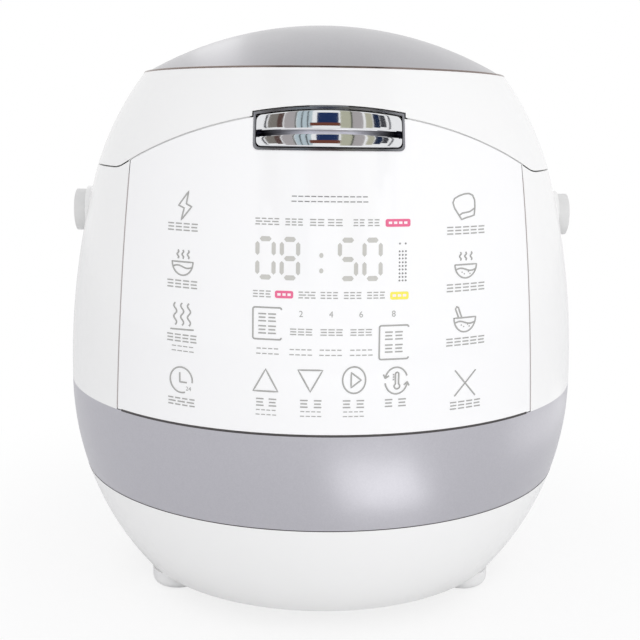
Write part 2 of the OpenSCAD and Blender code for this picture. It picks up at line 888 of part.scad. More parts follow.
module inlet_2d(w, h) {
    cut = 4;
    polygon([[-w / 2, -h / 2], [w / 2, -h / 2], [w / 2, h / 2 - cut], [w / 2 - cut, h / 2],
        [-w / 2 + cut, h / 2], [-w / 2, h / 2 - cut]]);
}

module power_inlet() {
    color(BAKELITE) translate([0, 0, inlet_z]) difference() {
        union() {
            translate([-18, inlet_face_y, -13.5]) cube([36, 1.8, 27]);
            front_prism(inlet_face_y - 18, inlet_face_y) inlet_2d(27.6, 20.6);
        }
        front_prism(inlet_face_y - 15.5, inlet_face_y + 5) inlet_2d(24.6, 16.6);
        for (x = [-7, 7]) translate([x - 1.1, inlet_face_y - 30, -2 - 2.1]) cube([2.2, 30, 4.2]);
        translate([-1.1, inlet_face_y - 30, 2.4 - 0.4]) cube([2.2, 30, 4.2]);
    }
}

module inlet_pins() {
    color(STEEL) translate([0, 0, inlet_z]) {
        for (x = [-7, 7]) translate([x - 1, inlet_face_y - 26, -4]) cube([2, 24, 4]);
        translate([-1, inlet_face_y - 26, 2.1]) cube([2, 25, 4]);
    }
}

// ---------------------------------------------------------------- hinge

hinge_y = body_r - hinge_in;
cheek_x = barrel_half + 0.4;
housing_low_z = 194;
housing_back_y = hinge_y + barrel_r + 0.5;

module across(x0, x1, r) {
    translate([x0, hinge_y, hinge_z]) rotate([0, 90, 0]) cylinder(r = r, h = x1 - x0);
}

module hinge_housing() {
    reach = cheek_x + cheek_t;
    color(WHITE) difference() {
        union() {
            // block behind the casing, rounded off below
            intersection() {
                translate([-reach, 60, housing_low_z])
                    cube([2 * reach, housing_back_y - 60, seam_z - 1 - housing_low_z]);
                translate([-reach, hinge_y - 10, hinge_z - 3]) rotate([0, 90, 0]) cylinder(r = 22, h = 2 * reach);
            }
            on_both_sides() {
                across(cheek_x, cheek_x + cheek_t, barrel_r);
                translate([cheek_x, hinge_y - barrel_r, seam_z - 6]) cube([cheek_t, 2 * barrel_r, hinge_z - seam_z + 6]);
            }
        }
        rotate_extrude($fn = REVOLVE_FN) intersection() {
            outline_2d(-0.05);
            level_2d(0, seam_z + seam_gap);
        }
        // the lid's rear skirt and barrel turn in this hollow
        across(-cheek_x, cheek_x, barrel_r + 0.8);
        body_core(-0.6, seam_z - 1, seam_z + 30);
        across(-FAR / 2, FAR / 2, hinge_pin_r);
    }
}

module hinge_pin() {
    half = cheek_x + cheek_t - 0.5;
    color(STEEL) across(-half, half, hinge_pin_r);
}

hinge_front_y = pot_back + recess_r + 2.5 + 0.7;
hinge_plate_z = recess_z + liner_t;
hinge_plate_t = 5;
hinge_screws = [for (x = [-24, 24]) [x, hinge_front_y - 15]];

module lid_hinge() {
    lug = 8;
    top = hinge_z + barrel_r;
    color(WHITE) difference() {
        union() {
            across(-barrel_half, barrel_half, barrel_r);
            // skirt that closes the lid's rear notch
            translate([-barrel_half, hinge_front_y, liner_z + 0.4])
                cube([2 * barrel_half, hinge_y - hinge_front_y, top - liner_z - 0.4]);
            // plate on the liner's roof
            translate([-barrel_half, hinge_front_y - 22, hinge_plate_z])
                cube([2 * barrel_half, 24, hinge_plate_t]);
        }
        // hollow for the springs
        across(-barrel_half + lug, barrel_half - lug, barrel_r - 2);
        across(-FAR / 2, FAR / 2, hinge_pin_r + 0.05);
        for (p = hinge_screws) translate([p.x, p.y, 0]) cylinder(r = 1.7, h = FAR);
    }
}

module hinge_springs() {
    color(STEEL) on_both_sides() translate([4, hinge_y, hinge_z]) rotate([0, 90, 0])
        helix_wire(5, 0.8, 2, 8, 5, 10);
}

// ---------------------------------------------------------------- carry handle

module arm_2d() {
    soft_rect(arm_t, arm_h, 2.2);
}

module carry_handle() {
    mid = handle_bend_r - arm_t / 2;
    grip_start = 90 - grip_angle / 2;
    color(PALE_GREY) translate([0, 0, handle_z]) difference() {
        union() {
            on_both_sides() {
                translate([mid, 0, 0]) rotate([-90, 0, 0]) linear_extrude(arm_straight) arm_2d();
                translate([handle_out - arm_t, 0, 0]) rotate([0, 90, 0]) cylinder(r = boss_r, h = arm_t);
                translate([0, arm_straight, 0]) rotate_extrude(angle = grip_start + 1) translate([mid, 0]) arm_2d();
            }
            translate([0, arm_straight, 0]) rotate([0, 0, grip_start]) rotate_extrude(angle = grip_angle)
                translate([mid, 0]) soft_rect(arm_t, arm_h - 3, 2.2);
        }
        on_both_sides() translate([handle_out - 20, 0, 0]) rotate([0, 90, 0]) cylinder(r = handle_pin_r + 0.05, h = 40);
        on_both_sides() translate([handle_out - 1.6, 0, 0]) rotate([0, 90, 0]) cylinder(r = handle_pin_r + 2.3, h = 20);
    }
}

module handle_grip() {
    mid = handle_bend_r - arm_t / 2;
    color(PALE_GREY) translate([0, arm_straight, handle_z]) rotate([0, 0, 90 - grip_angle / 2 + 1.4])
        rotate_extrude(angle = grip_angle - 2.8) translate([mid, 0]) difference() {
            soft_rect(grip_t, grip_h, 5.5);
            soft_rect(arm_t + 0.1, arm_h - 2.9, 2.25);
        }
}

module handle_pins() {
    color(CHROME) on_both_sides() {
        handle_pad(handle_pin_r, pad_x, handle_out - 1.4);
        handle_pad(2.1, pad_x - 16, pad_x);
        handle_pad(handle_pin_r + 2, handle_out - 1.4, handle_out - 0.1);
    }
}

// ---------------------------------------------------------------- lid

module lid_shell() {
    flange_in = dome_edge_r - 8;
    color(WHITE) difference() {
        union() {
            body_skin(0, wall, seam_z + seam_gap, dome_edge_z);
            // inward ledge that the domed cap rests on
            rotate_extrude($fn = REVOLVE_FN) intersection() {
                difference() {
                    outline_2d(0.5);
                    square([flange_in, FAR]);
                }
                level_2d(dome_edge_z - 4, dome_edge_z - 2);
            }
        }
        front_prism(-FAR, 0) below_seam_2d(seam_gap);
        // seat of the domed cap
        translate([0, 0, dome_edge_z - 2]) cylinder(r = dome_edge_r + 0.3, h = 10);
        // opening for the hinge arm
        translate([-barrel_half - 0.4, 60, seam_z - 1]) cube([2 * barrel_half + 0.8, 80, hinge_z + barrel_r - seam_z + 1.6]);
    }
}

module dome_2d(r) {
    translate([0, dome_c_z]) circle(r = r, $fn = REVOLVE_FN);
}

module lid_dome() {
    color(SILVER) difference() {
        rotate_extrude($fn = REVOLVE_FN) union() {
            difference() {
                intersection() {
                    dome_2d(dome_arc);
                    translate([0, dome_edge_z - 2]) square([dome_edge_r, FAR]);
                }
                dome_2d(dome_arc - dome_sheet);
                translate([0, dome_edge_z - 3]) square([dome_edge_r - 2, 2.9]);
            }
        }
        translate([0, valve_y, dome_edge_z - 10]) cylinder(r = duct_r + 0.3, h = 60);
    }
}

module dome_trim() {
    color(CHROME) translate([0, 0, dome_edge_z - 2]) difference() {
        cylinder(r = dome_edge_r - 2.2, h = 1.6);
        translate([0, 0, -1]) cylinder(r = dome_edge_r - 5, h = 4);
    }
}

module lid_liner() {
    inset = wall + FIT;
    color(WHITE) difference() {
        union() {
            body_core(inset, liner_z, liner_z + liner_t);
            // hood over the tongue
            intersection() {
                body_core(inset, liner_z, FAR);
                tongue_block(recess_r + 0.5, seam_arc + seam_gap + hood_t, liner_z);
            }
            // walls and roof of the recess for the inner lid
            translate([0, pot_back, liner_z]) cylinder(r = recess_r + 2.5, h = recess_z + liner_t - liner_z);
        }
        tongue_block(tongue_r - seam_gap, seam_arc + seam_gap, liner_z - 1);
        translate([0, pot_back, 0]) cylinder(r = recess_r, h = recess_z);
        translate([0, valve_y, 0]) cylinder(r = 9, h = FAR);
        translate([-bezel_half - seam_gap, -FAR, bezel_low_z - seam_gap])
            cube([2 * (bezel_half + seam_gap), FAR + latch_room_y, 60]);
        // room for the hinge's skirt behind the recess
        difference() {
            translate([-barrel_half - 0.4, hinge_front_y - 14, 0]) cube([2 * barrel_half + 0.8, 40, FAR]);
            translate([0, pot_back, 0]) cylinder(r = recess_r + 2.5, h = FAR);
        }
        for (p = hinge_screws) translate([p.x, p.y, recess_z - 1]) cylinder(r = 1.7, h = 5);
    }
}

module inner_lid() {
    bead = 2.2;
    color(ALUMINIUM) translate([0, pot_back, 0]) difference() {
        union() {
            translate([0, 0, lid_plate_z]) cylinder(r = lid_plate_r, h = lid_plate_t);
            translate([0, 0, lid_plate_z - bead]) difference() {
                cylinder(r = lid_plate_r - 14, h = bead);
                translate([0, 0, -1]) cylinder(r = lid_plate_r - 15.2, h = bead + 2);
            }
            translate([0, 0, lid_plate_z - 5]) cylinder(r1 = 6, r2 = 7.5, h = 5);
        }
        for (a = [0:60:300]) rotate(a) translate([0, 30, 0]) cylinder(r = 2.2, h = FAR);
        translate([0, valve_y - pot_back, 0]) cylinder(r = 5, h = FAR);
    }
}

module inner_lid_seal() {
    z = lid_plate_z;
    t = lid_plate_t;
    in_r = lid_plate_r - 3;
    out_r = pot_flange_r - 0.4;
    color(SILICONE) translate([0, pot_back, 0]) rotate_extrude() polygon([
        [lid_plate_r + 0.1, z - 0.1], [in_r, z - 0.1], [in_r, z - 1], [lid_plate_r - 1, z - 1.6],
        [lid_plate_r + 1.5, seal_z], [out_r, seal_z], [out_r, z + 0.6], [out_r - 1.5, z + t + 1],
        [in_r, z + t + 1], [in_r, z + t + 0.1], [lid_plate_r + 0.1, z + t + 0.1]]);
}

module lid_heater() {
    z = recess_z + liner_t;
    color(BRASS) translate([0, 0, z]) difference() {
        union() {
            difference() {
                translate([0, pot_back, 0]) cylinder(r = 72, h = 0.8);
                translate([0, valve_y, -1]) cylinder(r = duct_r + 2, h = 4);
            }
        }
        translate([0, pot_back, 0.8 - 0.3]) for (r = [62, 54]) difference() {
            cylinder(r = r + 1, h = 1);
            translate([0, 0, -1]) cylinder(r = r - 1, h = 4);
        }
    }
}

module steam_duct() {
    z0 = recess_z + liner_t;
    color(WHITE) difference() {
        intersection() {
            translate([0, valve_y, z0]) cylinder(r = duct_r, h = 60);
            translate([0, 0, dome_c_z]) sphere(r = dome_arc - dome_sheet - 0.2, $fn = REVOLVE_FN);
        }
        translate([0, valve_y, z0 + 2]) cylinder(r = duct_r - 2, h = 60);
        translate([0, valve_y, z0 - 1]) cylinder(r = 7, h = 60);
    }
}

module lid_striker() {
    low = slider_z - 3.4;
    hood_z = seam_z + seam_rise + seam_gap + hood_t;
    front_y = striker_back_y - striker_t;
    color(STEEL) union() {
        translate([-striker_half, front_y, low]) cube([2 * striker_half, striker_t, hood_z + striker_t - low]);
        translate([-striker_half, front_y, low]) cube([2 * striker_half, striker_t + nose_reach, 3]);
        translate([-striker_half - 4, front_y, hood_z]) cube([2 * striker_half + 8, 13, striker_t]);
    }
}

module lid_screws() {
    color(STEEL) for (p = hinge_screws) translate([p.x, p.y, 0]) {
        translate([0, 0, recess_z]) cylinder(r = 1.6, h = liner_t + hinge_plate_t);
        translate([0, 0, hinge_plate_z + hinge_plate_t]) cylinder(r = 3.2, h = 1.4);
    }
}

// ---------------------------------------------------------------- steam valve

valve_lift = 0.3;

module valve_cap() {
    color(SILVER) difference() {
        intersection() {
            translate([0, valve_y, dome_edge_z]) cylinder(r = valve_cap_r, h = 60);
            difference() {
                translate([0, 0, dome_c_z]) sphere(r = dome_arc + 4, $fn = REVOLVE_FN);
                translate([0, 0, dome_c_z]) sphere(r = dome_arc + valve_lift, $fn = REVOLVE_FN);
            }
        }
        for (x = [-9, 0, 9]) translate([x, valve_y + 4, dome_edge_z]) linear_extrude(60) {
            square([3, 14], center = true);
            for (y = [-7, 7]) translate([0, y]) circle(r = 1.5);
        }
    }
}

module valve_cup() {
    z0 = recess_z + liner_t + 5;
    r = duct_r - 2.4;
    color(WHITE) difference() {
        intersection() {
            translate([0, valve_y, z0]) cylinder(r = r, h = 60);
            translate([0, 0, dome_c_z]) sphere(r = dome_arc + valve_lift, $fn = REVOLVE_FN);
        }
        translate([0, valve_y, z0 + 1.8]) cylinder(r = r - 1.8, h = 60);
        for (a = [0:60:300]) translate([0, valve_y, z0 - 1]) rotate(a) translate([12, 0, 0]) cylinder(r = 1.8, h = 4);
    }
}

module valve_seal() {
    color(SILICONE) translate([0, valve_y, recess_z + liner_t + 2]) difference() {
        cylinder(r = 12, h = 3);
        translate([0, 0, -1]) cylinder(r = 7, h = 5);
    }
}

// ---------------------------------------------------------------- nodes

module placed() {
    translate([0, -origin_y, 0]) children();
}

placed() base_shell();
placed() vent_grille();
placed() feet();
placed() foot_pads();
placed() base_screws();
placed() silver_band();
placed() side_casing();
placed() panel_frame();
placed() control_panel();
placed() display_board();
placed() display_module();
placed() touch_springs();
placed() top_collar();
placed() latch_bezel();
placed() latch_springs();
placed() inner_liner();
placed() side_heater();
placed() coil_support();
placed() induction_coil();
placed() ferrite_bars();
placed() sensor_guide();
placed() sensor_spring();
placed() power_board();
placed() heat_sink();
placed() board_parts();
placed() fan_frame();
placed() power_inlet();
placed() inlet_pins();
placed() hinge_housing();
placed() hinge_pin();
placed() hinge_springs();
placed() handle_pins();
placed() inner_pot();
placed() lid_shell();
placed() lid_dome();
placed() dome_trim();
placed() lid_liner();
placed() inner_lid();
placed() inner_lid_seal();
placed() lid_heater();
placed() steam_duct();
placed() lid_striker();
placed() lid_hinge();
placed() lid_screws();
placed() valve_cap();
placed() valve_cup();
placed() valve_seal();
placed() latch_button();
placed() latch_slider();
placed() carry_handle();
placed() handle_grip();
placed() pot_sensor();
placed() fan_rotor();
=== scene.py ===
import math

import bmesh
import bpy
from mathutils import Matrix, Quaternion, Vector


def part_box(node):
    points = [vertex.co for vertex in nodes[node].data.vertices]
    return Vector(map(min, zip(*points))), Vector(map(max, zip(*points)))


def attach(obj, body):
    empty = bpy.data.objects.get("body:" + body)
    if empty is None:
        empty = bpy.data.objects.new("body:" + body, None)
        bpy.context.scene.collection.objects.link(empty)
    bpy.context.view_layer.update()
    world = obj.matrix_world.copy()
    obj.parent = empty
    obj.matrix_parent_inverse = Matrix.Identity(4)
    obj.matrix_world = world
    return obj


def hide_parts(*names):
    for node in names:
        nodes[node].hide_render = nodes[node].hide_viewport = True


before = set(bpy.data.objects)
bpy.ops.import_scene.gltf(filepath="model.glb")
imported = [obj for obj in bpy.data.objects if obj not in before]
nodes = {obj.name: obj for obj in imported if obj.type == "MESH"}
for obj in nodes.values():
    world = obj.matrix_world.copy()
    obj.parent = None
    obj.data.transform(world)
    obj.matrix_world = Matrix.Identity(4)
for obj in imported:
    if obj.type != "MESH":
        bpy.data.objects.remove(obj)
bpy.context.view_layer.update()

# --- Base bowl --------------------------------------------
# The lower bowl with its air grille, screws and feet. White ABS, injection
# moulded, and screwed up from below; the rubber pads are pressed into the feet.
mm = 0.001


def linear(hex_colour):
    """A colour given in sRGB hex, in the linear values that the shaders take."""
    parts = [int(hex_colour[i:i + 2], 16) / 255 for i in (1, 3, 5)]
    return [c / 12.92 if c <= 0.04045 else ((c + 0.055) / 1.055) ** 2.4 for c in parts] + [1.0]


def add(tree, kind, sockets=None, **fields):
    """Add a node with its settings, and set or link its input sockets."""
    made = tree.nodes.new(kind)
    for name, value in fields.items():
        setattr(made, name, value)
    for name, value in (sockets or {}).items():
        if isinstance(value, bpy.types.NodeSocket):
            tree.links.new(value, made.inputs[name])
        else:
            made.inputs[name].default_value = value
    return made


def start_finish(name, **plain):
    """A new material with its shader's plain values, and the piece's own coordinates."""
    finish = bpy.data.materials.new(name)
    finish.use_nodes = True
    tree = finish.node_tree
    tree.nodes.clear()
    shader = add(tree, "ShaderNodeBsdfPrincipled", {k.replace("_", " "): v for k, v in plain.items()})
    add(tree, "ShaderNodeOutputMaterial", {"Surface": shader.outputs["BSDF"]})
    coords = add(tree, "ShaderNodeTexCoord").outputs["Object"]
    return finish, tree, shader, coords


# Most of a noise pattern's values lie between these two.
noise_low, noise_high = 0.3, 0.7


def moulded(name, colour, shade, gloss, grain_mm, depth_mm, **plain):
    """Moulded plastic: its colour drifts a little to a shade, and its skin has the tool's grain."""
    finish, tree, shader, coords = start_finish(name, **{"IOR": 1.53, **plain})
    drift = add(tree, "ShaderNodeTexNoise", {"Vector": coords, "Scale": 1 / (90 * mm), "Detail": 2.0})
    tint = add(tree, "ShaderNodeMix", {
        0: drift.outputs["Fac"], 6: linear(shade), 7: linear(colour)}, data_type="RGBA")
    tree.links.new(tint.outputs[2], shader.inputs["Base Color"])
    skin = add(tree, "ShaderNodeTexNoise", {"Vector": coords, "Scale": 1 / (grain_mm * mm), "Detail": 3.0})
    rough = add(tree, "ShaderNodeMapRange", {
        "Value": skin.outputs["Fac"], "From Min": noise_low, "From Max": noise_high,
        "To Min": gloss - 0.03, "To Max": gloss + 0.03})
    tree.links.new(rough.outputs["Result"], shader.inputs["Roughness"])
    bump = add(tree, "ShaderNodeBump", {
        "Height": skin.outputs["Fac"], "Distance": depth_mm * mm, "Strength": 0.6})
    tree.links.new(bump.outputs["Normal"], shader.inputs["Normal"])
    return finish


def dress(finish, *names):
    """Give a CAD part its finish."""
    for name in names:
        for slot in nodes[name].material_slots:
            slot.material = finish


# Semi-gloss ABS from a polished tool: even white, with a soft, slightly wavy sheen.
white_abs = moulded("white gloss ABS", "#F7F7F6", "#F3F3F2", 0.24, 5.0, 0.012)
# The same ABS from a spark-eroded tool: finer grain, so a duller sheen.
satin_abs = moulded("white satin ABS", "#F0F0EF", "#EAEAEA", 0.42, 0.9, 0.02)
# Moulded rubber: dark, matt and slightly rough to the touch.
black_rubber = moulded("moulded rubber", "#3A3A3B", "#323233", 0.75, 0.7, 0.05)


def worked_metal(name, colour, shade, roughness, line_mm, stretch, depth_mm, **plain):
    """Metal with the marks of its last tool, which run along the axis that stretch draws out."""
    finish, tree, shader, coords = start_finish(name, Metallic=1.0, **plain)
    along = add(tree, "ShaderNodeMapping", {"Vector": coords, "Scale": stretch})
    lines = add(tree, "ShaderNodeTexNoise", {
        "Vector": along.outputs[0], "Scale": 1 / (line_mm * mm), "Detail": 4.0})
    tint = add(tree, "ShaderNodeMix", {
        0: lines.outputs["Fac"], 6: linear(shade), 7: linear(colour)}, data_type="RGBA")
    tree.links.new(tint.outputs[2], shader.inputs["Base Color"])
    rough = add(tree, "ShaderNodeMapRange", {
        "Value": lines.outputs["Fac"], "From Min": noise_low, "From Max": noise_high,
        "To Min": roughness * 0.85, "To Max": roughness * 1.15})
    tree.links.new(rough.outputs["Result"], shader.inputs["Roughness"])
    bump = add(tree, "ShaderNodeBump", {
        "Height": lines.outputs["Fac"], "Distance": depth_mm * mm, "Strength": 0.5})
    tree.links.new(bump.outputs["Normal"], shader.inputs["Normal"])
    return finish


# Zinc-plated steel: cool grey, with the faint cloudiness of the plating.
zinc_steel = worked_metal("zinc-plated steel", "#C9CCD0", "#AEB2B6", 0.32, 3.0, (1, 1, 1), 0.01)

dress(white_abs, "base_shell")
dress(satin_abs, "feet", "vent_grille")
dress(black_rubber, "foot_pads")
dress(zinc_steel, "base_screws")

# --- Mains inlet ------------------------------------------
# The socket for the mains lead, with its three contacts. Glass-filled black
# nylon, clipped into the back of the bowl; the contacts are nickel-plated brass.
# Glass-filled nylon: nearly black, with a dull, faintly flowed skin.
black_nylon = moulded("glass-filled nylon", "#26262A", "#1E1E20", 0.5, 1.4, 0.03)
# Nickel plate over stamped brass: bright, a little warm.
nickel = worked_metal("nickel-plated brass", "#D6D2C8", "#C4BFB4", 0.22, 1.5, (1, 0.15, 1), 0.006)
dress(black_nylon, "power_inlet")
dress(nickel, "inlet_pins")

# --- Silver band ------------------------------------------
# The ring between the bowl and the casing. An ABS moulding under fine silver
# lacquer, held between the two shells by a ledge.


def silver_lacquer(name, colour, shade, roughness):
    """Aluminium-flake lacquer: a soft metallic sheen, with flakes drawn at 0.6 mm so that they show."""
    finish, tree, shader, coords = start_finish(name, Metallic=0.92, Coat_Weight=0.25, Coat_Roughness=0.18)
    flakes = add(tree, "ShaderNodeTexVoronoi", {"Vector": coords, "Scale": 1 / (0.6 * mm)})
    sparkle = add(tree, "ShaderNodeMapRange", {
        "Value": flakes.outputs["Color"], "To Min": 0.0, "To Max": 0.35})
    tint = add(tree, "ShaderNodeMix", {
        0: sparkle.outputs["Result"], 6: linear(colour), 7: linear(shade)}, data_type="RGBA")
    tree.links.new(tint.outputs[2], shader.inputs["Base Color"])
    cloud = add(tree, "ShaderNodeTexNoise", {"Vector": coords, "Scale": 1 / (25 * mm), "Detail": 2.0})
    rough = add(tree, "ShaderNodeMapRange", {
        "Value": cloud.outputs["Fac"], "From Min": noise_low, "From Max": noise_high,
        "To Min": roughness - 0.02, "To Max": roughness + 0.02})
    tree.links.new(rough.outputs["Result"], shader.inputs["Roughness"])
    return finish


band_lacquer = silver_lacquer("silver lacquer on ABS", "#C5C4CA", "#B5B4BB", 0.34)
dress(band_lacquer, "silver_band")

# --- Outer casing -----------------------------------------
# The upper wall of the body, with the round pads that carry the handle. White
# gloss ABS in one moulding, hooked over the band and the frame of the panel.
dress(white_abs, "side_casing")
dress(satin_abs, "panel_frame")

# --- Control panel ----------------------------------------
# A curved acrylic lens, printed white on its back and hard-coated in front,
# which snaps into the casing. A dark rubber strip in the gap round it is painted shade: it draws the gap's
# shadow.
# Coated acrylic over white ink: clear, deep gloss over an even white.
panel_lens = moulded("hard-coated acrylic", "#FAFAFA", "#F7F7F7", 0.10, 30.0, 0.02,
                     Coat_Weight=0.3, Coat_Roughness=0.05)
dress(panel_lens, "control_panel")

# An arc draws the body's side, from its widest level up.
body_r = 128 * mm
axis_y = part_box("silver_band")[0][1] + body_r
widest_z = 100 * mm
side_arc = 380 * mm
# Above the side arc, the shoulder has its own arc, given by its radius and its centre.
side_rise = 102 * mm
shoulder_tilt = math.asin(side_rise / side_arc)
shoulder_r = 141 * mm
shoulder_at = (body_r - side_arc + (side_arc - shoulder_r) * math.cos(shoulder_tilt),
               widest_z + (side_arc - shoulder_r) * math.sin(shoulder_tilt))


def wrapping_tree():
    """Geometry Nodes: flat artwork, drawn in x and height, is wrapped round the body's side.
    Faces become thin plates, loose edges become strokes, and loose points become dots."""
    tree = bpy.data.node_groups.new("Wrap artwork round the body", "GeometryNodeTree")
    ports = tree.interface
    ports.new_socket("Geometry", in_out="OUTPUT", socket_type="NodeSocketGeometry")
    ports.new_socket("Geometry", in_out="INPUT", socket_type="NodeSocketGeometry")
    for label in ("Stroke Width", "Ink Thickness", "Dot Radius",
                  "Body Radius", "Widest Level", "Side Arc", "Axis Depth"):
        ports.new_socket(label, in_out="INPUT", socket_type="NodeSocketFloat")
    ports.new_socket("Finish", in_out="INPUT", socket_type="NodeSocketMaterial")
    given = add(tree, "NodeGroupInput").outputs
    art = given["Geometry"]

    faces_here = add(tree, "GeometryNodeInputMeshEdgeNeighbors").outputs["Face Count"]
    loose_edge = add(tree, "FunctionNodeCompare", {2: faces_here, 3: 0}, data_type="INT", operation="EQUAL")
    lines = add(tree, "GeometryNodeMeshToCurve", {"Mesh": art, "Selection": loose_edge.outputs[0]})
    finer_lines = add(tree, "GeometryNodeSubdivideCurve", {"Curve": lines.outputs[0], "Cuts": 5})
    upright = add(tree, "GeometryNodeSetCurveNormal", {"Curve": finer_lines.outputs[0]}, mode="Z_UP")
    ribbon = add(tree, "GeometryNodeCurvePrimitiveQuadrilateral",
                 {"Width": given["Stroke Width"], "Height": given["Ink Thickness"]})
    strokes = add(tree, "GeometryNodeCurveToMesh",
                  {"Curve": upright.outputs[0], "Profile Curve": ribbon.outputs[0], "Fill Caps": True})

    linked = add(tree, "GeometryNodeInputMeshVertexNeighbors").outputs["Vertex Count"]
    loose_point = add(tree, "FunctionNodeCompare", {2: linked, 3: 0}, data_type="INT", operation="EQUAL")
    points = add(tree, "GeometryNodeMeshToPoints", {"Mesh": art, "Selection": loose_point.outputs[0]})
    disc = add(tree, "GeometryNodeMeshCircle",
               {"Vertices": 12, "Radius": given["Dot Radius"]}, fill_type="NGON")
    dots = add(tree, "GeometryNodeInstanceOnPoints",
               {"Points": points.outputs[0], "Instance": disc.outputs[0]})
    flat_dots = add(tree, "GeometryNodeRealizeInstances", {"Geometry": dots.outputs[0]})

    faces = add(tree, "GeometryNodeSeparateGeometry", {"Geometry": art}, domain="FACE")
    finer = add(tree, "GeometryNodeSubdivideMesh", {"Mesh": faces.outputs[0], "Level": 2})
    flat = add(tree, "GeometryNodeJoinGeometry")
    tree.links.new(finer.outputs[0], flat.inputs[0])
    tree.links.new(flat_dots.outputs[0], flat.inputs[0])
    raised = add(tree, "GeometryNodeExtrudeMesh", {
        "Mesh": flat.outputs[0], "Offset Scale": given["Ink Thickness"], "Individual": False})
    underside = add(tree, "GeometryNodeFlipFaces", {"Mesh": flat.outputs[0]})
    plates = add(tree, "GeometryNodeJoinGeometry")
    tree.links.new(raised.outputs[0], plates.inputs[0])
    tree.links.new(underside.outputs[0], plates.inputs[0])
    sealed = add(tree, "GeometryNodeMergeByDistance",
                 {"Geometry": plates.outputs[0], "Distance": 0.002 * mm})

    both = add(tree, "GeometryNodeJoinGeometry")
    tree.links.new(strokes.outputs[0], both.inputs[0])
    tree.links.new(sealed.outputs[0], both.inputs[0])

    # The arc gives the radius at each height, and the radius and x give the depth.
    place = add(tree, "ShaderNodeSeparateXYZ", {0: add(tree, "GeometryNodeInputPosition").outputs[0]}).outputs
    rise = add(tree, "ShaderNodeMath", {0: place["Y"], 1: given["Widest Level"]}, operation="SUBTRACT")
    rise_2 = add(tree, "ShaderNodeMath", {0: rise.outputs[0], 1: 2.0}, operation="POWER")
    arc_2 = add(tree, "ShaderNodeMath", {0: given["Side Arc"], 1: 2.0}, operation="POWER")
    rest = add(tree, "ShaderNodeMath", {0: arc_2.outputs[0], 1: rise_2.outputs[0]}, operation="SUBTRACT")
    bulge = add(tree, "ShaderNodeMath", {0: rest.outputs[0]}, operation="SQRT")
    inward = add(tree, "ShaderNodeMath",
                 {0: given["Body Radius"], 1: given["Side Arc"]}, operation="SUBTRACT")
    radius = add(tree, "ShaderNodeMath", {0: bulge.outputs[0], 1: inward.outputs[0]}, operation="ADD")
    proud = add(tree, "ShaderNodeMath", {0: radius.outputs[0], 1: place["Z"]}, operation="ADD")
    proud_2 = add(tree, "ShaderNodeMath", {0: proud.outputs[0], 1: 2.0}, operation="POWER")
    across_2 = add(tree, "ShaderNodeMath", {0: place["X"], 1: 2.0}, operation="POWER")
    depth_2 = add(tree, "ShaderNodeMath",
                  {0: proud_2.outputs[0], 1: across_2.outputs[0]}, operation="SUBTRACT")
    depth = add(tree, "ShaderNodeMath", {0: depth_2.outputs[0]}, operation="SQRT")
    forward = add(tree, "ShaderNodeMath", {0: given["Axis Depth"], 1: depth.outputs[0]}, operation="SUBTRACT")
    wrapped = add(tree, "ShaderNodeCombineXYZ", {0: place["X"], 1: forward.outputs[0], 2: place["Y"]})
    bent = add(tree, "GeometryNodeSetPosition",
               {"Geometry": both.outputs[0], "Position": wrapped.outputs[0]})
    real = add(tree, "GeometryNodeRealizeInstances", {"Geometry": bent.outputs[0]})
    coloured = add(tree, "GeometryNodeSetMaterial",
                   {"Geometry": real.outputs[0], "Material": given["Finish"]})
    add(tree, "NodeGroupOutput", {"Geometry": coloured.outputs[0]})
    return tree


wrapping = wrapping_tree()


def settle(piece):
    """Turn what the modifiers make into a plain mesh and take them away."""
    done = piece.evaluated_get(bpy.context.evaluated_depsgraph_get())
    mesh = bpy.data.meshes.new_from_object(done)
    piece.modifiers.clear()
    piece.data = mesh


def put_on_body(name, body, finish, plates=(), strokes=(), dots=(), stroke=0.6, ink=0.08, dot=0.35,
                lift=0.0, skin=(body_r, widest_z, side_arc)):
    """Make one piece of artwork from shapes given in millimetres, and wrap it round the side.
    The skin gives the surface's widest radius, the level of that, and its arc."""
    mesh = bpy.data.meshes.new(name)
    points, lines, faces = [], [], []
    for shape in plates:
        faces.append([len(points) + i for i in range(len(shape))])
        points += [(x * mm, z * mm, lift * mm) for x, z in shape]
    for shape in strokes:
        lines += [(len(points) + i, len(points) + i + 1) for i in range(len(shape) - 1)]
        if shape[0] == shape[-1]:
            lines[-1] = (lines[-1][0], len(points))
            shape = shape[:-1]
        points += [(x * mm, z * mm, (lift + ink / 2) * mm) for x, z in shape]
    points += [(x * mm, z * mm, lift * mm) for x, z in dots]
    mesh.from_pydata(points, lines, faces)
    piece = bpy.data.objects.new(name, mesh)
    bpy.context.collection.objects.link(piece)
    nodes_of = piece.modifiers.new("wrap", "NODES")
    nodes_of.node_group = wrapping
    sizes = {"Stroke Width": stroke * mm, "Ink Thickness": ink * mm, "Dot Radius": dot * mm,
             "Body Radius": skin[0], "Widest Level": skin[1], "Side Arc": skin[2],
             "Axis Depth": axis_y, "Finish": finish}
    for port in wrapping.interface.items_tree:
        if port.in_out == "INPUT" and port.name in sizes:
            nodes_of[port.identifier] = sizes[port.name]
    settle(piece)
    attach(piece, body)
    return piece


# Dark grey, matt silicone rubber for painted shade: strips of it laid in the gaps draw their shadow, so the gap
# round the lens reads as a dark line.
gap_shade_rubber = moulded("silicone gasket", "#4A4646", "#3E3A3A", 0.6, 0.8, 0.02)
# The lens, in mm: the level of its foot, half its width there, and how it narrows upwards.
panel_low = 102.2
side_low, side_slope = 92.2, 5.0 / 105.0
gap_shade_half = 90


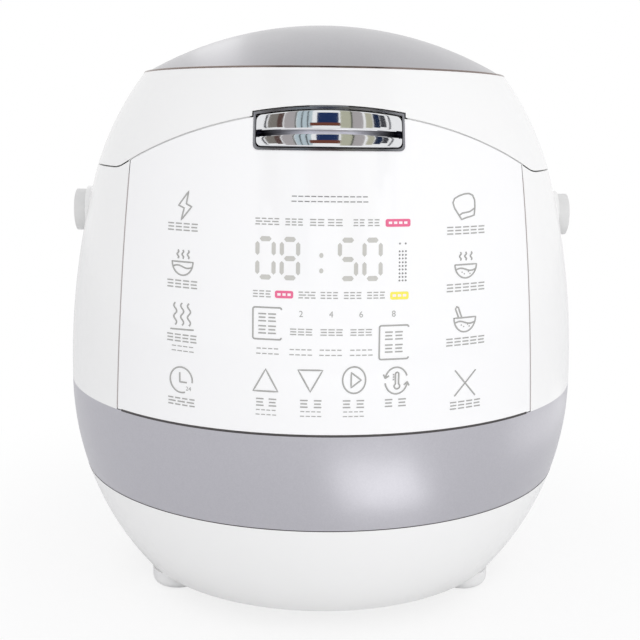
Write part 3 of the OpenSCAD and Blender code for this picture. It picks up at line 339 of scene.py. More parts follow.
def printed_ink(name, colour):
    """Screen ink under the lens's coat: nearly even, with 1.2 mm specks, and the lens's own gloss."""
    finish, tree, shader, coords = start_finish(
        name, IOR=1.49, Coat_Weight=0.3, Coat_Roughness=0.05, Roughness=0.16)
    speck = add(tree, "ShaderNodeTexNoise", {"Vector": coords, "Scale": 1 / (1.2 * mm), "Detail": 2.0})
    thin_ink = [min(1.0, c * 1.12) for c in linear(colour)]
    tint = add(tree, "ShaderNodeMix", {
        0: speck.outputs["Fac"], 6: linear(colour), 7: thin_ink}, data_type="RGBA")
    tree.links.new(tint.outputs[2], shader.inputs["Base Color"])
    return finish


def panel_edge(side, z):
    """A point on the lens's left or right edge, at a height."""
    return (side * (side_low - side_slope * (z - panel_low)), z)


# Painted shade: a dark strip along the lens's foot draws the shadow of the gap there.
painted_gap_shade = put_on_body(
    "panel_gap_shade_strip", "base", gap_shade_rubber,
    strokes=[[(x, panel_low) for x in range(-gap_shade_half, gap_shade_half + 1, 2)]],
    stroke=1.0, ink=0.5, lift=-0.45)

# Painted shade: warm grey lines printed along the lens's two sides draw the shadow of the gap there.
edge_shade_ink = printed_ink("warm grey ink for painted edge shade", "#ADA4A3")
edges = put_on_body("panel_edge_shade_lines", "base", edge_shade_ink, stroke=0.5,
                    strokes=[[panel_edge(side, z) for z in range(103, 208, 3)] for side in (-1, 1)])

# The collar's pale lip stands in the seam below the lid and keeps it from reading black.
# Pale grey ABS: plain and dull, with a fine even grain.
pale_abs = moulded("pale grey ABS", "#E3E3E2", "#DCDCDB", 0.38, 1.2, 0.02)
lip_r, lip_centre = 183.3, 49.7


def lip_point(side, turn):
    """A point of the arched seam on the left or right, at degrees from its top."""
    return (side * lip_r * math.sin(math.radians(turn)), lip_centre + lip_r * math.cos(math.radians(turn)))


lip = put_on_body("seam_lip", "base", pale_abs, stroke=0.56, ink=0.5, lift=-1.0,
                  skin=(shoulder_at[0] + shoulder_r, shoulder_at[1], shoulder_r),
                  strokes=[[lip_point(side, quarter / 4) for quarter in range(41, 117, 2)] for side in (-1, 1)])

# Painted shade: a hairline of the same dark rubber, where the band sits in the bowl, draws the shadow of the
# joint.
shade_line_half, shade_line_z, bowl_arc = 119.38, 58.3, 145 * mm
bead = put_on_body("band_shade_line", "base", gap_shade_rubber, stroke=0.35, ink=0.06, skin=(body_r, widest_z, bowl_arc),
                   strokes=[[(shade_line_half * math.sin(math.radians(a)), shade_line_z) for a in range(-86, 87, 2)]])

# --- Signs on the panel -----------------------------------
# Key symbols, captions and the lit numbers, screen-printed on the lens. The
# captions are plain dashes and numbers, because the panel carries no words.


def oval(x, z, half_w, half_h, start=0, stop=360, steps=40):
    """An oval, or a part of it between two angles in degrees."""
    turns = [math.radians(start + (stop - start) * i / steps) for i in range(steps + 1)]
    return [(x + half_w * math.cos(turn), z + half_h * math.sin(turn)) for turn in turns]


def ripple(x, low, high, swing, turns=1.5, steps=18):
    """A rising wavy line, as steam is drawn."""
    return [(x + swing * math.sin(2 * math.pi * turns * i / steps), low + (high - low) * i / steps)
            for i in range(steps + 1)]


def soft_box(x0, z0, x1, z1, corner, steps=5):
    """A frame or tag with round corners."""
    outline = []
    for cx, cz, turn in ((x1 - corner, z1 - corner, 0), (x0 + corner, z1 - corner, 90),
                         (x0 + corner, z0 + corner, 180), (x1 - corner, z0 + corner, 270)):
        outline += oval(cx, cz, corner, corner, turn, turn + 90, steps)
    return outline


def closed(outline):
    """The outline, led back to its start."""
    return outline + [outline[0]]


def bowl(x, top, half_w, high):
    """A bowl with a line of porridge in it."""
    side = oval(x, top, half_w, high, 180, 360, 24)
    reach, level, swing, steps = half_w * 0.93, top - 2.0, 0.55, 16
    wave = [(x + reach * (2 * i / steps - 1), level + swing * math.sin(2 * math.pi * i / steps))
            for i in range(steps + 1)]
    return [closed(side), wave]


bolt = closed([(-58.2, 199.4), (-62.6, 193.4), (-60.1, 192.4), (-61.4, 187.4), (-56.8, 193.1), (-59.2, 194.2)])
bag = closed([(55.8, 189.1), (54.2, 191.4), (52.6, 193.8), (51.9, 196.0), (52.6, 197.7), (54.8, 198.8),
              (57.2, 199.5), (59.3, 199.6), (61.0, 198.8), (61.9, 196.8), (62.0, 194.0), (61.6, 190.7),
              (60.0, 190.2), (58.0, 189.8)])
bag_wave = [(54.9, 190.9), (56.2, 191.7), (58.0, 191.9), (59.6, 192.2), (61.7, 193.4)]
key_symbols = [bolt, bag, bag_wave]
# Three bowls, with steam over two of them.
key_symbols += bowl(-60.5, 170.5, 4.6, 5.5) + bowl(57.7, 170.7, 4.9, 5.5) + bowl(57.5, 148.9, 4.9, 5.9)
key_symbols += [ripple(x, 171.8, 175.3, 0.35) for x in (-62.6, -60.4, -58.0)]
key_symbols += [ripple(x, 172.4, 175.8, 0.35) for x in (55.2, 57.6, 60.1)]
# Steam over a plate.
key_symbols += [ripple(x, 144.4, 153.6, 0.65, 2.0, 28) for x in (-63.6, -60.5, -57.5)]
key_symbols += [[(-65.8, 142.5), (-60.6, 142.7), (-55.4, 142.9)]]
# The spoon in the third bowl, and the rice grains in the two bowls on the right.
key_symbols += [[(54.6, 149.2), (53.2, 152.7), (53.7, 153.6), (54.5, 153.3), (56.0, 149.2)]]
grains = [(56.0, 167.6), (57.0, 166.9), (58.9, 167.7), (59.6, 166.9),
          (55.9, 145.9), (57.0, 145.2), (58.8, 146.0), (59.5, 145.2)]
# A clock and a cross.
key_symbols += [oval(-61.0, 121.5, 4.9, 5.4, -8, 290), [(-61.6, 124.6), (-61.6, 120.6), (-58.5, 120.6)]]
key_symbols += [[(53.5, 127.2), (63.0, 115.6)], [(63.0, 126.6), (53.5, 116.2)]]
# The lower row: up, down, start, and a thermometer between two turning arrows.
key_symbols += [closed([(-25.2, 129.4), (-30.3, 120.3), (-20.2, 120.3)])]
key_symbols += [closed([(-12.0, 129.6), (-2.0, 129.6), (-7.0, 120.7)])]
key_symbols += [oval(10.8, 125.6, 4.7, 5.45), closed([(9.6, 128.7), (9.6, 122.5), (13.7, 125.6)])]
key_symbols += [oval(28.2, 124.9, 4.7, 5.5, 20, 165), oval(28.2, 124.9, 4.7, 5.5, 190, 345)]
key_symbols += [[(22.8, 127.6), (23.6, 126.0), (25.1, 127.0)], [(31.4, 122.9), (32.8, 124.2), (33.6, 122.6)]]
key_symbols += [closed(oval(28.5, 127.6, 0.7, 0.7, 0, 180, 8) + oval(28.5, 122.6, 1.15, 1.15, 125, 415, 16))]
key_symbols += [[(26.7, z), (27.3, z)] for z in (125.4, 126.4, 127.4)]
# The frames of two keys beside the display.
key_symbols += [soft_box(-30.5, 141.6, -18.9, 154.4, 0.8), soft_box(20.9, 133.8, 33.0, 147.5, 0.8)]
sign_grey = printed_ink("grey screen ink", "#A8A8A5")
symbols = put_on_body("key_symbols", "base", sign_grey, strokes=key_symbols, stroke=0.62, dots=grains, dot=0.3)


def dashes(x0, x1, z, high, length=2.3, gap=0.9):
    """A caption without words: a row of short dashes that fills the width."""
    count = max(1, round((x1 - x0 + gap) / (length + gap)))
    step = (x1 - x0 + gap) / count
    return [[(x0 + i * step, z - high / 2), (x0 + (i + 1) * step - gap, z - high / 2),
             (x0 + (i + 1) * step - gap, z + high / 2), (x0 + i * step, z + high / 2)] for i in range(count)]


def caption(x0, x1, z, high):
    """Two or three fine dashes above each other, which give a caption its usual weight."""
    rows = 3 if high > 2.5 else 2
    spread, thick, length, gap = high * 0.84, high * 0.16, high * 0.82, high * 0.26
    plates = []
    for row in range(rows):
        # Every other row starts and stops a little inside its neighbours.
        start, stop = x0 + 0.15 * (row % 2), x1 - 0.25 * (row % 2)
        plates += dashes(start, stop, z + spread * (row / (rows - 1) - 0.5), thick, length, gap)
    return plates


# Each row's level and height, and where its captions start and stop, in mm.
caption_rows = {
    (188.6, 2.7): [(-29.8, -20.1), (-17.6, -10.5), (-7.7, -1.9), (-0.5, 5.5), (9.9, 14.4), (15.8, 20.5)],
    (159.8, 2.7): [(-30.6, -23.3), (-12.1, -5.2), (-3.2, 3.8), (6.2, 13.3), (15.6, 22.9)],
    (145.0, 2.6): [(-15.4, -6.4), (-3.1, 5.9), (9.0, 17.8)],
    (136.8, 2.5): [(-29.1, -19.9), (-15.6, -6.4), (-3.5, 5.7), (8.9, 18.2)],
    (150.4, 3.4): [(-28.3, -25.1), (-24.3, -21.1)], (145.5, 3.4): [(-28.3, -25.1), (-24.3, -21.1)],
    (143.4, 3.4): [(23.2, 26.4), (27.4, 30.6)], (138.2, 3.4): [(23.2, 26.4), (27.4, 30.6)],
    (115.7, 3.3): [(-29.1, -26.0), (-23.9, -20.8), (-11.1, -8.0), (-5.5, -2.4), (6.3, 9.4), (11.9, 15.0),
                   (23.6, 26.7), (29.2, 32.4)],
    (111.5, 2.3): [(-29.3, -20.8), (-11.1, -2.4), (6.4, 15.0)],
    (184.7, 3.2): [(-67.2, -54.0), (49.2, 66.4)], (161.4, 3.2): [(-67.2, -54.0), (49.2, 66.4)],
    (139.1, 3.2): [(-67.2, -54.2), (49.3, 66.7)], (134.7, 2.3): [(-65.2, -55.4)],
    (112.2, 3.3): [(-66.9, -55.1), (51.7, 65.5)],
}
caption_plates = [plate for (z, high), spans in caption_rows.items() for x0, x1 in spans
                  for plate in caption(x0, x1, z, high)]
caption_grey = printed_ink("pale grey screen ink", "#A3A3A0")
captions = put_on_body("panel_captions", "base", caption_grey, plates=caption_plates)

title_grey = printed_ink("dark grey screen ink", "#858585")
title = put_on_body("panel_title", "base", title_grey, plates=caption(-15.2, 15.9, 197.8, 2.4))

# Seven bars make each number; the letters name the bars that are lit.
bars_lit = {"0": "abcdef", "5": "acdfg", "8": "abcdefg"}


def flat_bar(x, z):
    """A lying bar, pointed at both ends."""
    tip, end, half = 2.4, 1.6, 1.0
    return [(x - tip, z), (x - end, z + half), (x + end, z + half),
            (x + tip, z), (x + end, z - half), (x - end, z - half)]


def upright_bar(x, z):
    """A standing bar, pointed at both ends."""
    tip, end, half = 2.8, 1.9, 0.85
    return [(x, z + tip), (x + half, z + end), (x + half, z - end),
            (x, z - tip), (x - half, z - end), (x - half, z + end)]


def number(figure, left):
    """The lit bars of one number, from its left side."""
    low, middle, high = 166.5, 174.1, 181.7
    near, centre, far = left + 0.85, left + 4.15, left + 7.45
    lower, upper = (low + middle) / 2, (middle + high) / 2
    bars = {"a": flat_bar(centre, high), "g": flat_bar(centre, middle), "d": flat_bar(centre, low),
            "f": upright_bar(near, upper), "b": upright_bar(far, upper),
            "e": upright_bar(near, lower), "c": upright_bar(far, lower)}
    return [bars[letter] for letter in bars_lit[figure]]


lit_bars = number("0", -29.7) + number("8", -19.8) + number("5", 3.6) + number("0", 13.6)
lit_bars += [oval(-3.0, z, 0.85, 1.0, steps=12)[:-1] for z in (175.6, 169.5)]
number_grey = printed_ink("warm grey screen ink", "#C2C1BC")
numbers = put_on_body("display_numbers", "base", number_grey, plates=lit_bars)

# Three columns of nine dots, with a little more room after each third one.
dots_top, dot_step, group_gap = 177.1, 1.42, 0.14
level_dots = [(x, dots_top - dot_step * row - group_gap * (row // 3))
              for x in (28.9, 30.2, 31.5) for row in range(9)]
level_dots += [(29.0, 180.2), (31.4, 180.2)]
level = put_on_body("level_dots", "base", title_grey, dots=level_dots, dot=0.38)

pink_ink = printed_ink("pink screen ink", "#E4668F")
pink_tags = put_on_body("pink_tags", "base", pink_ink, plates=[
    soft_box(23.0, 186.9, 33.4, 190.0, 0.8)[:-1], soft_box(-21.6, 158.3, -14.2, 161.3, 0.8)[:-1]])
yellow_ink = printed_ink("yellow screen ink", "#F2E75C")
yellow_tag = put_on_body("yellow_tag", "base", yellow_ink, plates=[
    soft_box(25.1, 157.9, 32.8, 161.0, 0.8)[:-1]])
white_ink = printed_ink("white screen ink", "#F6E9EC")
tag_marks = put_on_body("tag_marks", "base", white_ink, lift=0.06, plates=(
    dashes(24.3, 32.1, 188.5, 1.0, 1.6, 0.7) + dashes(-20.6, -15.2, 159.8, 1.0, 1.6, 0.7)
    + dashes(26.1, 31.8, 159.5, 1.0, 1.6, 0.7)))


def figures(words, high, x, z):
    """Numbers set in the plain built-in face, as flat outlines ready to wrap."""
    size_to_height = 1.4
    text = bpy.data.curves.new("figures", "FONT")
    text.body, text.size = words, high * mm * size_to_height
    text.align_x, text.align_y = "CENTER", "CENTER"
    writer = bpy.data.objects.new("figures", text)
    bpy.context.collection.objects.link(writer)
    mesh = bpy.data.meshes.new_from_object(writer.evaluated_get(bpy.context.evaluated_depsgraph_get()))
    bpy.data.objects.remove(writer)
    shapes = [[(mesh.vertices[i].co.x / mm + x, mesh.vertices[i].co.y / mm + z) for i in face.vertices]
              for face in mesh.polygons]
    bpy.data.meshes.remove(mesh)
    return shapes


cup_numbers = [shape for words, x in (("2", -11.0), ("4", 1.2), ("6", 13.3), ("8", 26.7))
               for shape in figures(words, 2.5, x, 152.1)]
cup_numbers += figures("24", 1.7, -57.8, 118.0)
cups = put_on_body("cup_numbers", "base", sign_grey, plates=cup_numbers)

# --- Display and boards behind the lens -------------------
# The display's light box and its circuit board stand behind the lens, with a
# touch spring for each key. Printed glass-fibre board, ABS and plated steel.


def circuit_board(name, colour, track):
    """Solder resist over copper: green, with straight tracks at 2.5 mm that show a little lighter."""
    finish, tree, shader, coords = start_finish(name, IOR=1.5, Roughness=0.35, Coat_Weight=0.3)
    tracks = add(tree, "ShaderNodeTexBrick", {
        "Vector": coords, "Scale": 1 / (10 * mm), "Color1": linear(colour), "Color2": linear(colour),
        "Mortar": linear(track), "Mortar Size": 0.04, "Brick Width": 0.9, "Row Height": 0.25})
    tree.links.new(tracks.outputs["Color"], shader.inputs["Base Color"])
    raised = add(tree, "ShaderNodeBump", {
        "Height": tracks.outputs["Fac"], "Distance": 0.04 * mm, "Strength": 0.4})
    tree.links.new(raised.outputs["Normal"], shader.inputs["Normal"])
    return finish


board_green = circuit_board("solder-resisted circuit board", "#1F5C38", "#3F8458")
spring_steel = worked_metal("spring steel", "#B9BBBE", "#9B9EA2", 0.3, 0.8, (1, 1, 0.3), 0.004)
dress(board_green, "display_board", "power_board")
dress(pale_abs, "display_module")
dress(spring_steel, "touch_springs", "latch_springs", "sensor_spring", "hinge_springs")

# --- Top collar and inner wall ----------------------------
# The collar round the pot's rim closes the body and hides the latch's works.
# White ABS; the wall below it is drawn aluminium with a side heater round it.
# Drawn aluminium: pale, with faint draw lines up the wall.
drawn_aluminium = worked_metal("drawn aluminium", "#D2D3D5", "#BCBEC1", 0.34, 2.0, (1, 1, 0.08), 0.01)
# Copper foil under a clear film.
heater_foil = worked_metal("etched copper foil", "#C9824E", "#A96A3E", 0.38, 1.6, (1, 1, 1), 0.01)
dress(white_abs, "top_collar")
dress(drawn_aluminium, "inner_liner", "heat_sink")
dress(heater_foil, "side_heater", "lid_heater")

# --- Coil, sensor and fan ---------------------------------
# Litz wire wound on a nylon bowl under the pot, with ferrite bars below it. A
# sprung sensor touches the pot, and a fan cools the power board.


def litz_wire(name, colour, shade):
    """Twisted enamelled strands: copper with slanted stripes at 1.4 mm, coarser than the real strands."""
    finish, tree, shader, coords = start_finish(
        name, Metallic=0.9, Roughness=0.34, Coat_Weight=0.5, Coat_Roughness=0.2)
    strands = add(tree, "ShaderNodeTexWave", {"Vector": coords, "Scale": 0.3 / (1.4 * mm), "Distortion": 0.6},
                  bands_direction="DIAGONAL")
    tint = add(tree, "ShaderNodeMix", {
        0: strands.outputs["Fac"], 6: linear(shade), 7: linear(colour)}, data_type="RGBA")
    tree.links.new(tint.outputs[2], shader.inputs["Base Color"])
    twist = add(tree, "ShaderNodeBump", {
        "Height": strands.outputs["Fac"], "Distance": 0.15 * mm, "Strength": 0.6})
    tree.links.new(twist.outputs["Normal"], shader.inputs["Normal"])
    return finish


coil_copper = litz_wire("enamelled litz wire", "#C77B45", "#8F5227")
# Pressed and fired ferrite: charcoal grey and dull, with a fine pore.
fired_ferrite = moulded("fired ferrite", "#46464B", "#38383C", 0.55, 0.5, 0.03)
dress(black_nylon, "coil_support", "sensor_guide", "fan_frame", "fan_rotor", "board_parts")
dress(coil_copper, "induction_coil")
dress(fired_ferrite, "ferrite_bars")
dress(drawn_aluminium, "pot_sensor")

# --- Pot --------------------------------------------------
# The lift-out pot: three-ply stainless steel, deep drawn and spun, with a rolled
# rim flange. Its turned lines run round the wall.


def spun_steel(name, colour, shade, centre):
    """Spun stainless steel: rings at 0.8 mm round the pot's axis, wider than real ones so that they show."""
    finish, tree, shader, coords = start_finish(name, Metallic=1.0)
    centred = add(tree, "ShaderNodeMapping", {"Vector": coords, "Location": (0, -centre, 0)})
    place = add(tree, "ShaderNodeSeparateXYZ", {0: centred.outputs[0]}).outputs
    level = add(tree, "ShaderNodeCombineXYZ", {0: place["X"], 1: place["Y"]})
    reach = add(tree, "ShaderNodeVectorMath", {0: level.outputs[0]}, operation="LENGTH")
    rings_at = add(tree, "ShaderNodeCombineXYZ", {0: reach.outputs["Value"], 1: place["Z"]})
    rings = add(tree, "ShaderNodeTexNoise", {
        "Vector": rings_at.outputs[0], "Scale": 1 / (0.8 * mm), "Detail": 3.0})
    tint = add(tree, "ShaderNodeMix", {
        0: rings.outputs["Fac"], 6: linear(shade), 7: linear(colour)}, data_type="RGBA")
    tree.links.new(tint.outputs[2], shader.inputs["Base Color"])
    rough = add(tree, "ShaderNodeMapRange", {"Value": rings.outputs["Fac"], "To Min": 0.22, "To Max": 0.36})
    tree.links.new(rough.outputs["Result"], shader.inputs["Roughness"])
    turned = add(tree, "ShaderNodeBump", {
        "Height": rings.outputs["Fac"], "Distance": 0.02 * mm, "Strength": 0.5})
    tree.links.new(turned.outputs["Normal"], shader.inputs["Normal"])
    return finish


pot_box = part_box("inner_pot")
pot_axis_y = (pot_box[0][1] + pot_box[1][1]) / 2
pot_steel = spun_steel("spun stainless steel", "#CFD0D2", "#B4B6B9", pot_axis_y)
dress(pot_steel, "inner_pot")

# --- Hinge ------------------------------------------------
# The lid turns on a steel pin between two cheeks at the back, and torsion
# springs lift it. The housing and the barrel are white ABS.
dress(white_abs, "hinge_housing", "lid_hinge")
dress(zinc_steel, "hinge_pin", "lid_screws")

# --- Lid --------------------------------------------------
# White ABS shell with a lacquered dome held by a thin plated ring. Below it are
# the liner, the heated aluminium inner lid and its silicone seal.
# Plated ring: warm, darkened chrome, nearly a mirror.
trim_chrome = worked_metal("smoked chrome plate", "#8C7F7A", "#7B6F6B", 0.16, 6.0, (1, 1, 1), 0.004)
# Moulded silicone: milky, soft sheen.
milky_silicone = moulded("moulded silicone", "#E9E8E2", "#DFDED8", 0.45, 1.5, 0.02, Subsurface_Weight=0.15)
dome_lacquer = silver_lacquer("silver lacquer on the dome", "#AEADB1", "#9E9DA2", 0.30)
dress(white_abs, "lid_shell", "lid_liner", "steam_duct")
dress(dome_lacquer, "lid_dome")


def trim_ring(name, reach, level, half, turns=240, section=10):
    """The plated ring in the joint round the dome, as a round bead turned about the lid's axis."""
    mesh = bpy.data.meshes.new(name)
    points, faces = [], []
    for i in range(turns):
        turn = 2 * math.pi * i / turns
        for j in range(section):
            corner = 2 * math.pi * j / section
            out, up = reach + half * math.cos(corner), level + half * math.sin(corner)
            points.append((out * math.sin(turn), axis_y - out * math.cos(turn), up))
            a, b = i * section + j, i * section + (j + 1) % section
            c, d = ((i + 1) % turns) * section + (j + 1) % section, ((i + 1) % turns) * section + j
            faces.append((a, d, c, b))
    mesh.from_pydata(points, [], faces)
    mesh.shade_smooth()
    mesh.materials.append(trim_chrome)
    ring = bpy.data.objects.new(name, mesh)
    bpy.context.collection.objects.link(ring)
    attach(ring, "lid")
    return ring


ring_reach, ring_level, ring_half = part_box("lid_dome")[1][0] + 0.1 * mm, 250.8 * mm, 0.8 * mm
ring = trim_ring("dome_ring", ring_reach, ring_level, ring_half)
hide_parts("dome_trim")
dress(drawn_aluminium, "inner_lid")
dress(milky_silicone, "inner_lid_seal")
dress(zinc_steel, "lid_striker")

# --- Steam valve ------------------------------------------
# A lift-out cup in the lid that lets steam off through slots under its cap.
# ABS cap in the dome's lacquer, white cup, silicone seal.
dress(dome_lacquer, "valve_cap")
dress(satin_abs, "valve_cup")
dress(milky_silicone, "valve_seal")

# --- Latch ------------------------------------------------
# The push button that frees the lid, in a thin bezel. ABS plated with bright
# chrome; a steel slider behind it holds the lid's striker.
# Bright chrome on ABS: a clear mirror, slightly wavy from the moulding.
bright_chrome = worked_metal("bright chrome plate", "#E6E7E9", "#DFE0E3", 0.05, 12.0, (1, 1, 1), 0.03)
# The bezel's chrome is satin, and its darker grey is partly painted shade of the recess, so it draws a grey
# line round the bright button.
satin_chrome_recess_shade = worked_metal("satin chrome plate with painted recess shade", "#97989D", "#85868B", 0.2, 6.0, (1, 1, 1), 0.004)
dress(bright_chrome, "latch_button", "handle_pins")
dress(satin_chrome_recess_shade, "latch_bezel")
dress(zinc_steel, "latch_slider")


def painted_crease_shade(name, middle, end):
    """Painted shade and reflection in the crease: metal that gets darker from the middle to both ends."""
    finish, tree, shader, coords = start_finish(name, Metallic=1.0, Roughness=0.3)
    across = add(tree, "ShaderNodeSeparateXYZ", {0: coords}).outputs["X"]
    far = add(tree, "ShaderNodeMath", {0: across}, operation="ABSOLUTE")
    dim = add(tree, "ShaderNodeMapRange", {"Value": far.outputs[0], "From Min": 9 * mm, "From Max": 27 * mm})
    tint = add(tree, "ShaderNodeMix", {
        0: dim.outputs["Result"], 6: linear(middle), 7: linear(end)}, data_type="RGBA")
    tree.links.new(tint.outputs[2], shader.inputs["Base Color"])
    return finish


crease_shade_metal = painted_crease_shade("metal with painted shade in the crease", "#E6E6EC", "#1C1C26")
button_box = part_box("latch_button")
button_half, button_low, button_top = button_box[1][0], button_box[0][2], button_box[1][2]
button_corner, button_edge, button_wall = 2.0 * mm, 0.7 * mm, 2.3 * mm
# The button's top edge is parallel to the lid's arched seam.
seam_r, seam_top = 183 * mm, 232.7 * mm
arch_r = seam_r - (seam_top - button_top)
facet_r, facet_proud = 9 * mm, 0.4 * mm
crease_rise, crease_drop, crease_depth = 6.3 * mm, 1.1 * mm, 1.0 * mm


def soft_edge(gap, radius):
    """How far a rounded edge falls away at a distance from the rim."""
    return radius - math.sqrt(radius * radius - (radius - gap) ** 2) if gap < radius else 0.0


def crease_z(across):
    """The crease's height, which drops to both ends, where across is -1 and 1."""
    return button_low + crease_rise - crease_drop * across ** 2


def crease_half(middle_mm, growth_mm, across):
    """A half width in the crease, which opens to both ends."""
    return (middle_mm + growth_mm * across ** 2) * mm


def button_face(across, up):
    """A point of the front: two full facets with a hollow crease, which widens to both ends."""
    x = across * button_half
    corner_x = button_half - button_corner
    arch = button_top - arch_r + math.sqrt(arch_r ** 2 - x * x)
    beyond = max(0.0, abs(x) - corner_x)
    cut = button_corner - math.sqrt(max(0.0, button_corner ** 2 - beyond ** 2))
    low, high = button_low + cut, arch - cut
    z = low + (high - low) * up
    crease = crease_z(across)
    bottom, top = (low, crease) if z < crease else (crease, high)
    # A crown drawn a tenth wider than its facet is fuller.
    stretch = 1.1
    half, along = (top - bottom) / 2 * stretch, (z - (bottom + top) / 2) * stretch
    swell = math.sqrt(facet_r ** 2 - along ** 2) - math.sqrt(facet_r ** 2 - half ** 2)
    hollow = crease_depth * (1 - min(1.0, abs(z - crease) / crease_half(1.0, 0.9, across)) ** 2) ** 2
    rim = min(z - low, high - z, button_half - abs(x) + (0.0 if beyond == 0.0 else cut))
    fall = soft_edge(max(0.0, rim), button_edge)
    return x, z, facet_proud + max(0.0, swell) - hollow - fall


def on_shoulder(x, z, proud):
    """The point of the shoulder's surface at x and z, moved out by proud."""
    radius = shoulder_at[0] + math.sqrt(shoulder_r ** 2 - (z - shoulder_at[1]) ** 2) + proud
    return Vector((x, axis_y - math.sqrt(radius ** 2 - x * x), z))


def button_mesh(columns=110, rows=56):
    """The front and a back parallel to it, joined round the rim; the crease gets the painted crease shade as a
    second material.
    """
    mesh = bpy.data.meshes.new("latch_front")
    points = []
    for layer in range(2):
        for i in range(columns + 1):
            for j in range(rows + 1):
                across = math.sin(math.pi / 2 * (2 * i / columns - 1))
                x, z, proud = button_face(across, 0.5 - 0.5 * math.cos(math.pi * j / rows))
                points.append(on_shoulder(x, z, proud if layer == 0 else -button_wall))
    size = (columns + 1) * (rows + 1)
    faces = []
    for i in range(columns):
        for j in range(rows):
            a = i * (rows + 1) + j
            faces.append((a, a + rows + 1, a + rows + 2, a + 1))
            faces.append((size + a + 1, size + a + rows + 2, size + a + rows + 1, size + a))
    rim = [i * (rows + 1) for i in range(columns)] + [columns * (rows + 1) + j for j in range(rows)]
    rim += [i * (rows + 1) + rows for i in range(columns, 0, -1)] + [j for j in range(rows, 0, -1)]
    for k, a in enumerate(rim):
        b = rim[(k + 1) % len(rim)]
        faces.append((a, size + a, size + b, b))
    mesh.from_pydata(points, [], faces)
    shape = bmesh.new()
    shape.from_mesh(mesh)
    bmesh.ops.remove_doubles(shape, verts=shape.verts, dist=0.001 * mm)
    bmesh.ops.recalc_face_normals(shape, faces=shape.faces)
    shape.to_mesh(mesh)
    shape.free()
    mesh.shade_smooth()
    mesh.set_sharp_from_angle(angle=math.radians(55))
    mesh.materials.append(bright_chrome)
    mesh.materials.append(crease_shade_metal)
    # Faces in the crease take the second material, whose darker colour is painted shade.
    for face in mesh.polygons:
        x, y, z = face.center
        across = x / button_half
        at_front = (Vector((x, y, z)) - on_shoulder(x, z, 0)).length < 1.5 * mm
        if at_front and abs(z - crease_z(across)) < crease_half(0.7, 0.8, across):
            face.material_index = 1
    return mesh


button = bpy.data.objects.new("latch_front", button_mesh())
bpy.context.collection.objects.link(button)
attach(button, "latch")
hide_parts("latch_button")

# --- Carry handle -----------------------------------------
# A folding bow that swings over the lid, with a thicker grip behind. Pale grey
# ABS in two mouldings, snapped together and held by plated pins.
dress(pale_abs, "carry_handle", "handle_grip")

# --- Studio -----------------------------------------------
# A pale floor that keeps the cooker's shadow, an even white surround, and two soft
# lamps: a key high on the right and a low fill in front. Cards give the reflections.
floor_half = 3.0
floor_mesh = bpy.data.meshes.new("floor")
floor_mesh.from_pydata([(-floor_half, -floor_half, 0), (floor_half, -floor_half, 0),
                        (floor_half, floor_half, 0), (-floor_half, floor_half, 0)], [], [(0, 1, 2, 3)])
floor = bpy.data.objects.new("floor", floor_mesh)
bpy.context.collection.objects.link(floor)


def pale_floor():
    """Matt white paper. Near the cooker it keeps its shadow, and further off it fades to plain white."""
    finish, tree, shader, coords = start_finish(
        "matt white paper", Base_Color=linear("#F4F4F4"), Roughness=0.9)
    output = next(n for n in tree.nodes if n.type == "OUTPUT_MATERIAL")
    reach = add(tree, "ShaderNodeVectorMath", {0: coords}, operation="LENGTH")
    fade = add(tree, "ShaderNodeMapRange", {
        "Value": reach.outputs["Value"], "From Min": 0.10, "From Max": 0.30, "To Min": 0.8, "To Max": 1.0},
        interpolation_type="SMOOTHSTEP")
    seen = add(tree, "ShaderNodeLightPath").outputs
    share = add(tree, "ShaderNodeMath",
                {0: fade.outputs["Result"], 1: seen["Is Camera Ray"]}, operation="MULTIPLY")
    white = add(tree, "ShaderNodeEmission", {"Color": (1, 1, 1, 1), "Strength": 1.0})
    mixed = add(tree, "ShaderNodeMixShader", {0: share.outputs[0], 1: shader.outputs[0], 2: white.outputs[0]})
    tree.links.new(mixed.outputs[0], output.inputs["Surface"])
    return finish


floor_mesh.materials.append(pale_floor())

world = bpy.data.worlds.new("studio")
bpy.context.scene.world = world
world.use_nodes = True
surround = world.node_tree
surround.nodes.clear()
ray = add(surround, "ShaderNodeLightPath").outputs
seen = add(surround, "ShaderNodeMath",
           {0: ray["Is Camera Ray"], 1: ray["Is Glossy Ray"]}, operation="MAXIMUM")
seen = add(surround, "ShaderNodeMath",
           {0: seen.outputs[0], 1: ray["Is Transmission Ray"]}, operation="MAXIMUM")
room = add(surround, "ShaderNodeBackground", {"Color": linear("#F4F4F6"), "Strength": 0.94})
white = add(surround, "ShaderNodeBackground", {"Color": (1, 1, 1, 1), "Strength": 1.0})
both = add(surround, "ShaderNodeMixShader", {0: seen.outputs[0], 1: room.outputs[0], 2: white.outputs[0]})
add(surround, "ShaderNodeOutputWorld", {"Surface": both.outputs[0]})


def soft_lamp(name, place, aim, size, power):
    """A broad lamp of a power in watts, turned to its aim."""
    lamp = bpy.data.lights.new(name, "AREA")
    lamp.shape, lamp.size, lamp.size_y, lamp.energy = "RECTANGLE", size[0], size[1], power
    stand = bpy.data.objects.new(name, lamp)
    stand.location = place
    stand.rotation_euler = (Vector(aim) - Vector(place)).to_track_quat("-Z", "Y").to_euler()
    bpy.context.collection.objects.link(stand)
    return stand


key_lamp = soft_lamp("key lamp", (0.8, -1.0, 0.9), (0, 0, 0.14), (1.0, 1.0), 2.7)
fill_lamp = soft_lamp("fill lamp", (0.05, -1.3, 0.12), (0, 0, 0.08), (1.2, 0.4), 1.8)
# The broad lamps light the matt parts alone, and cards shape what the shiny parts mirror.
key_lamp.visible_glossy = fill_lamp.visible_glossy = False


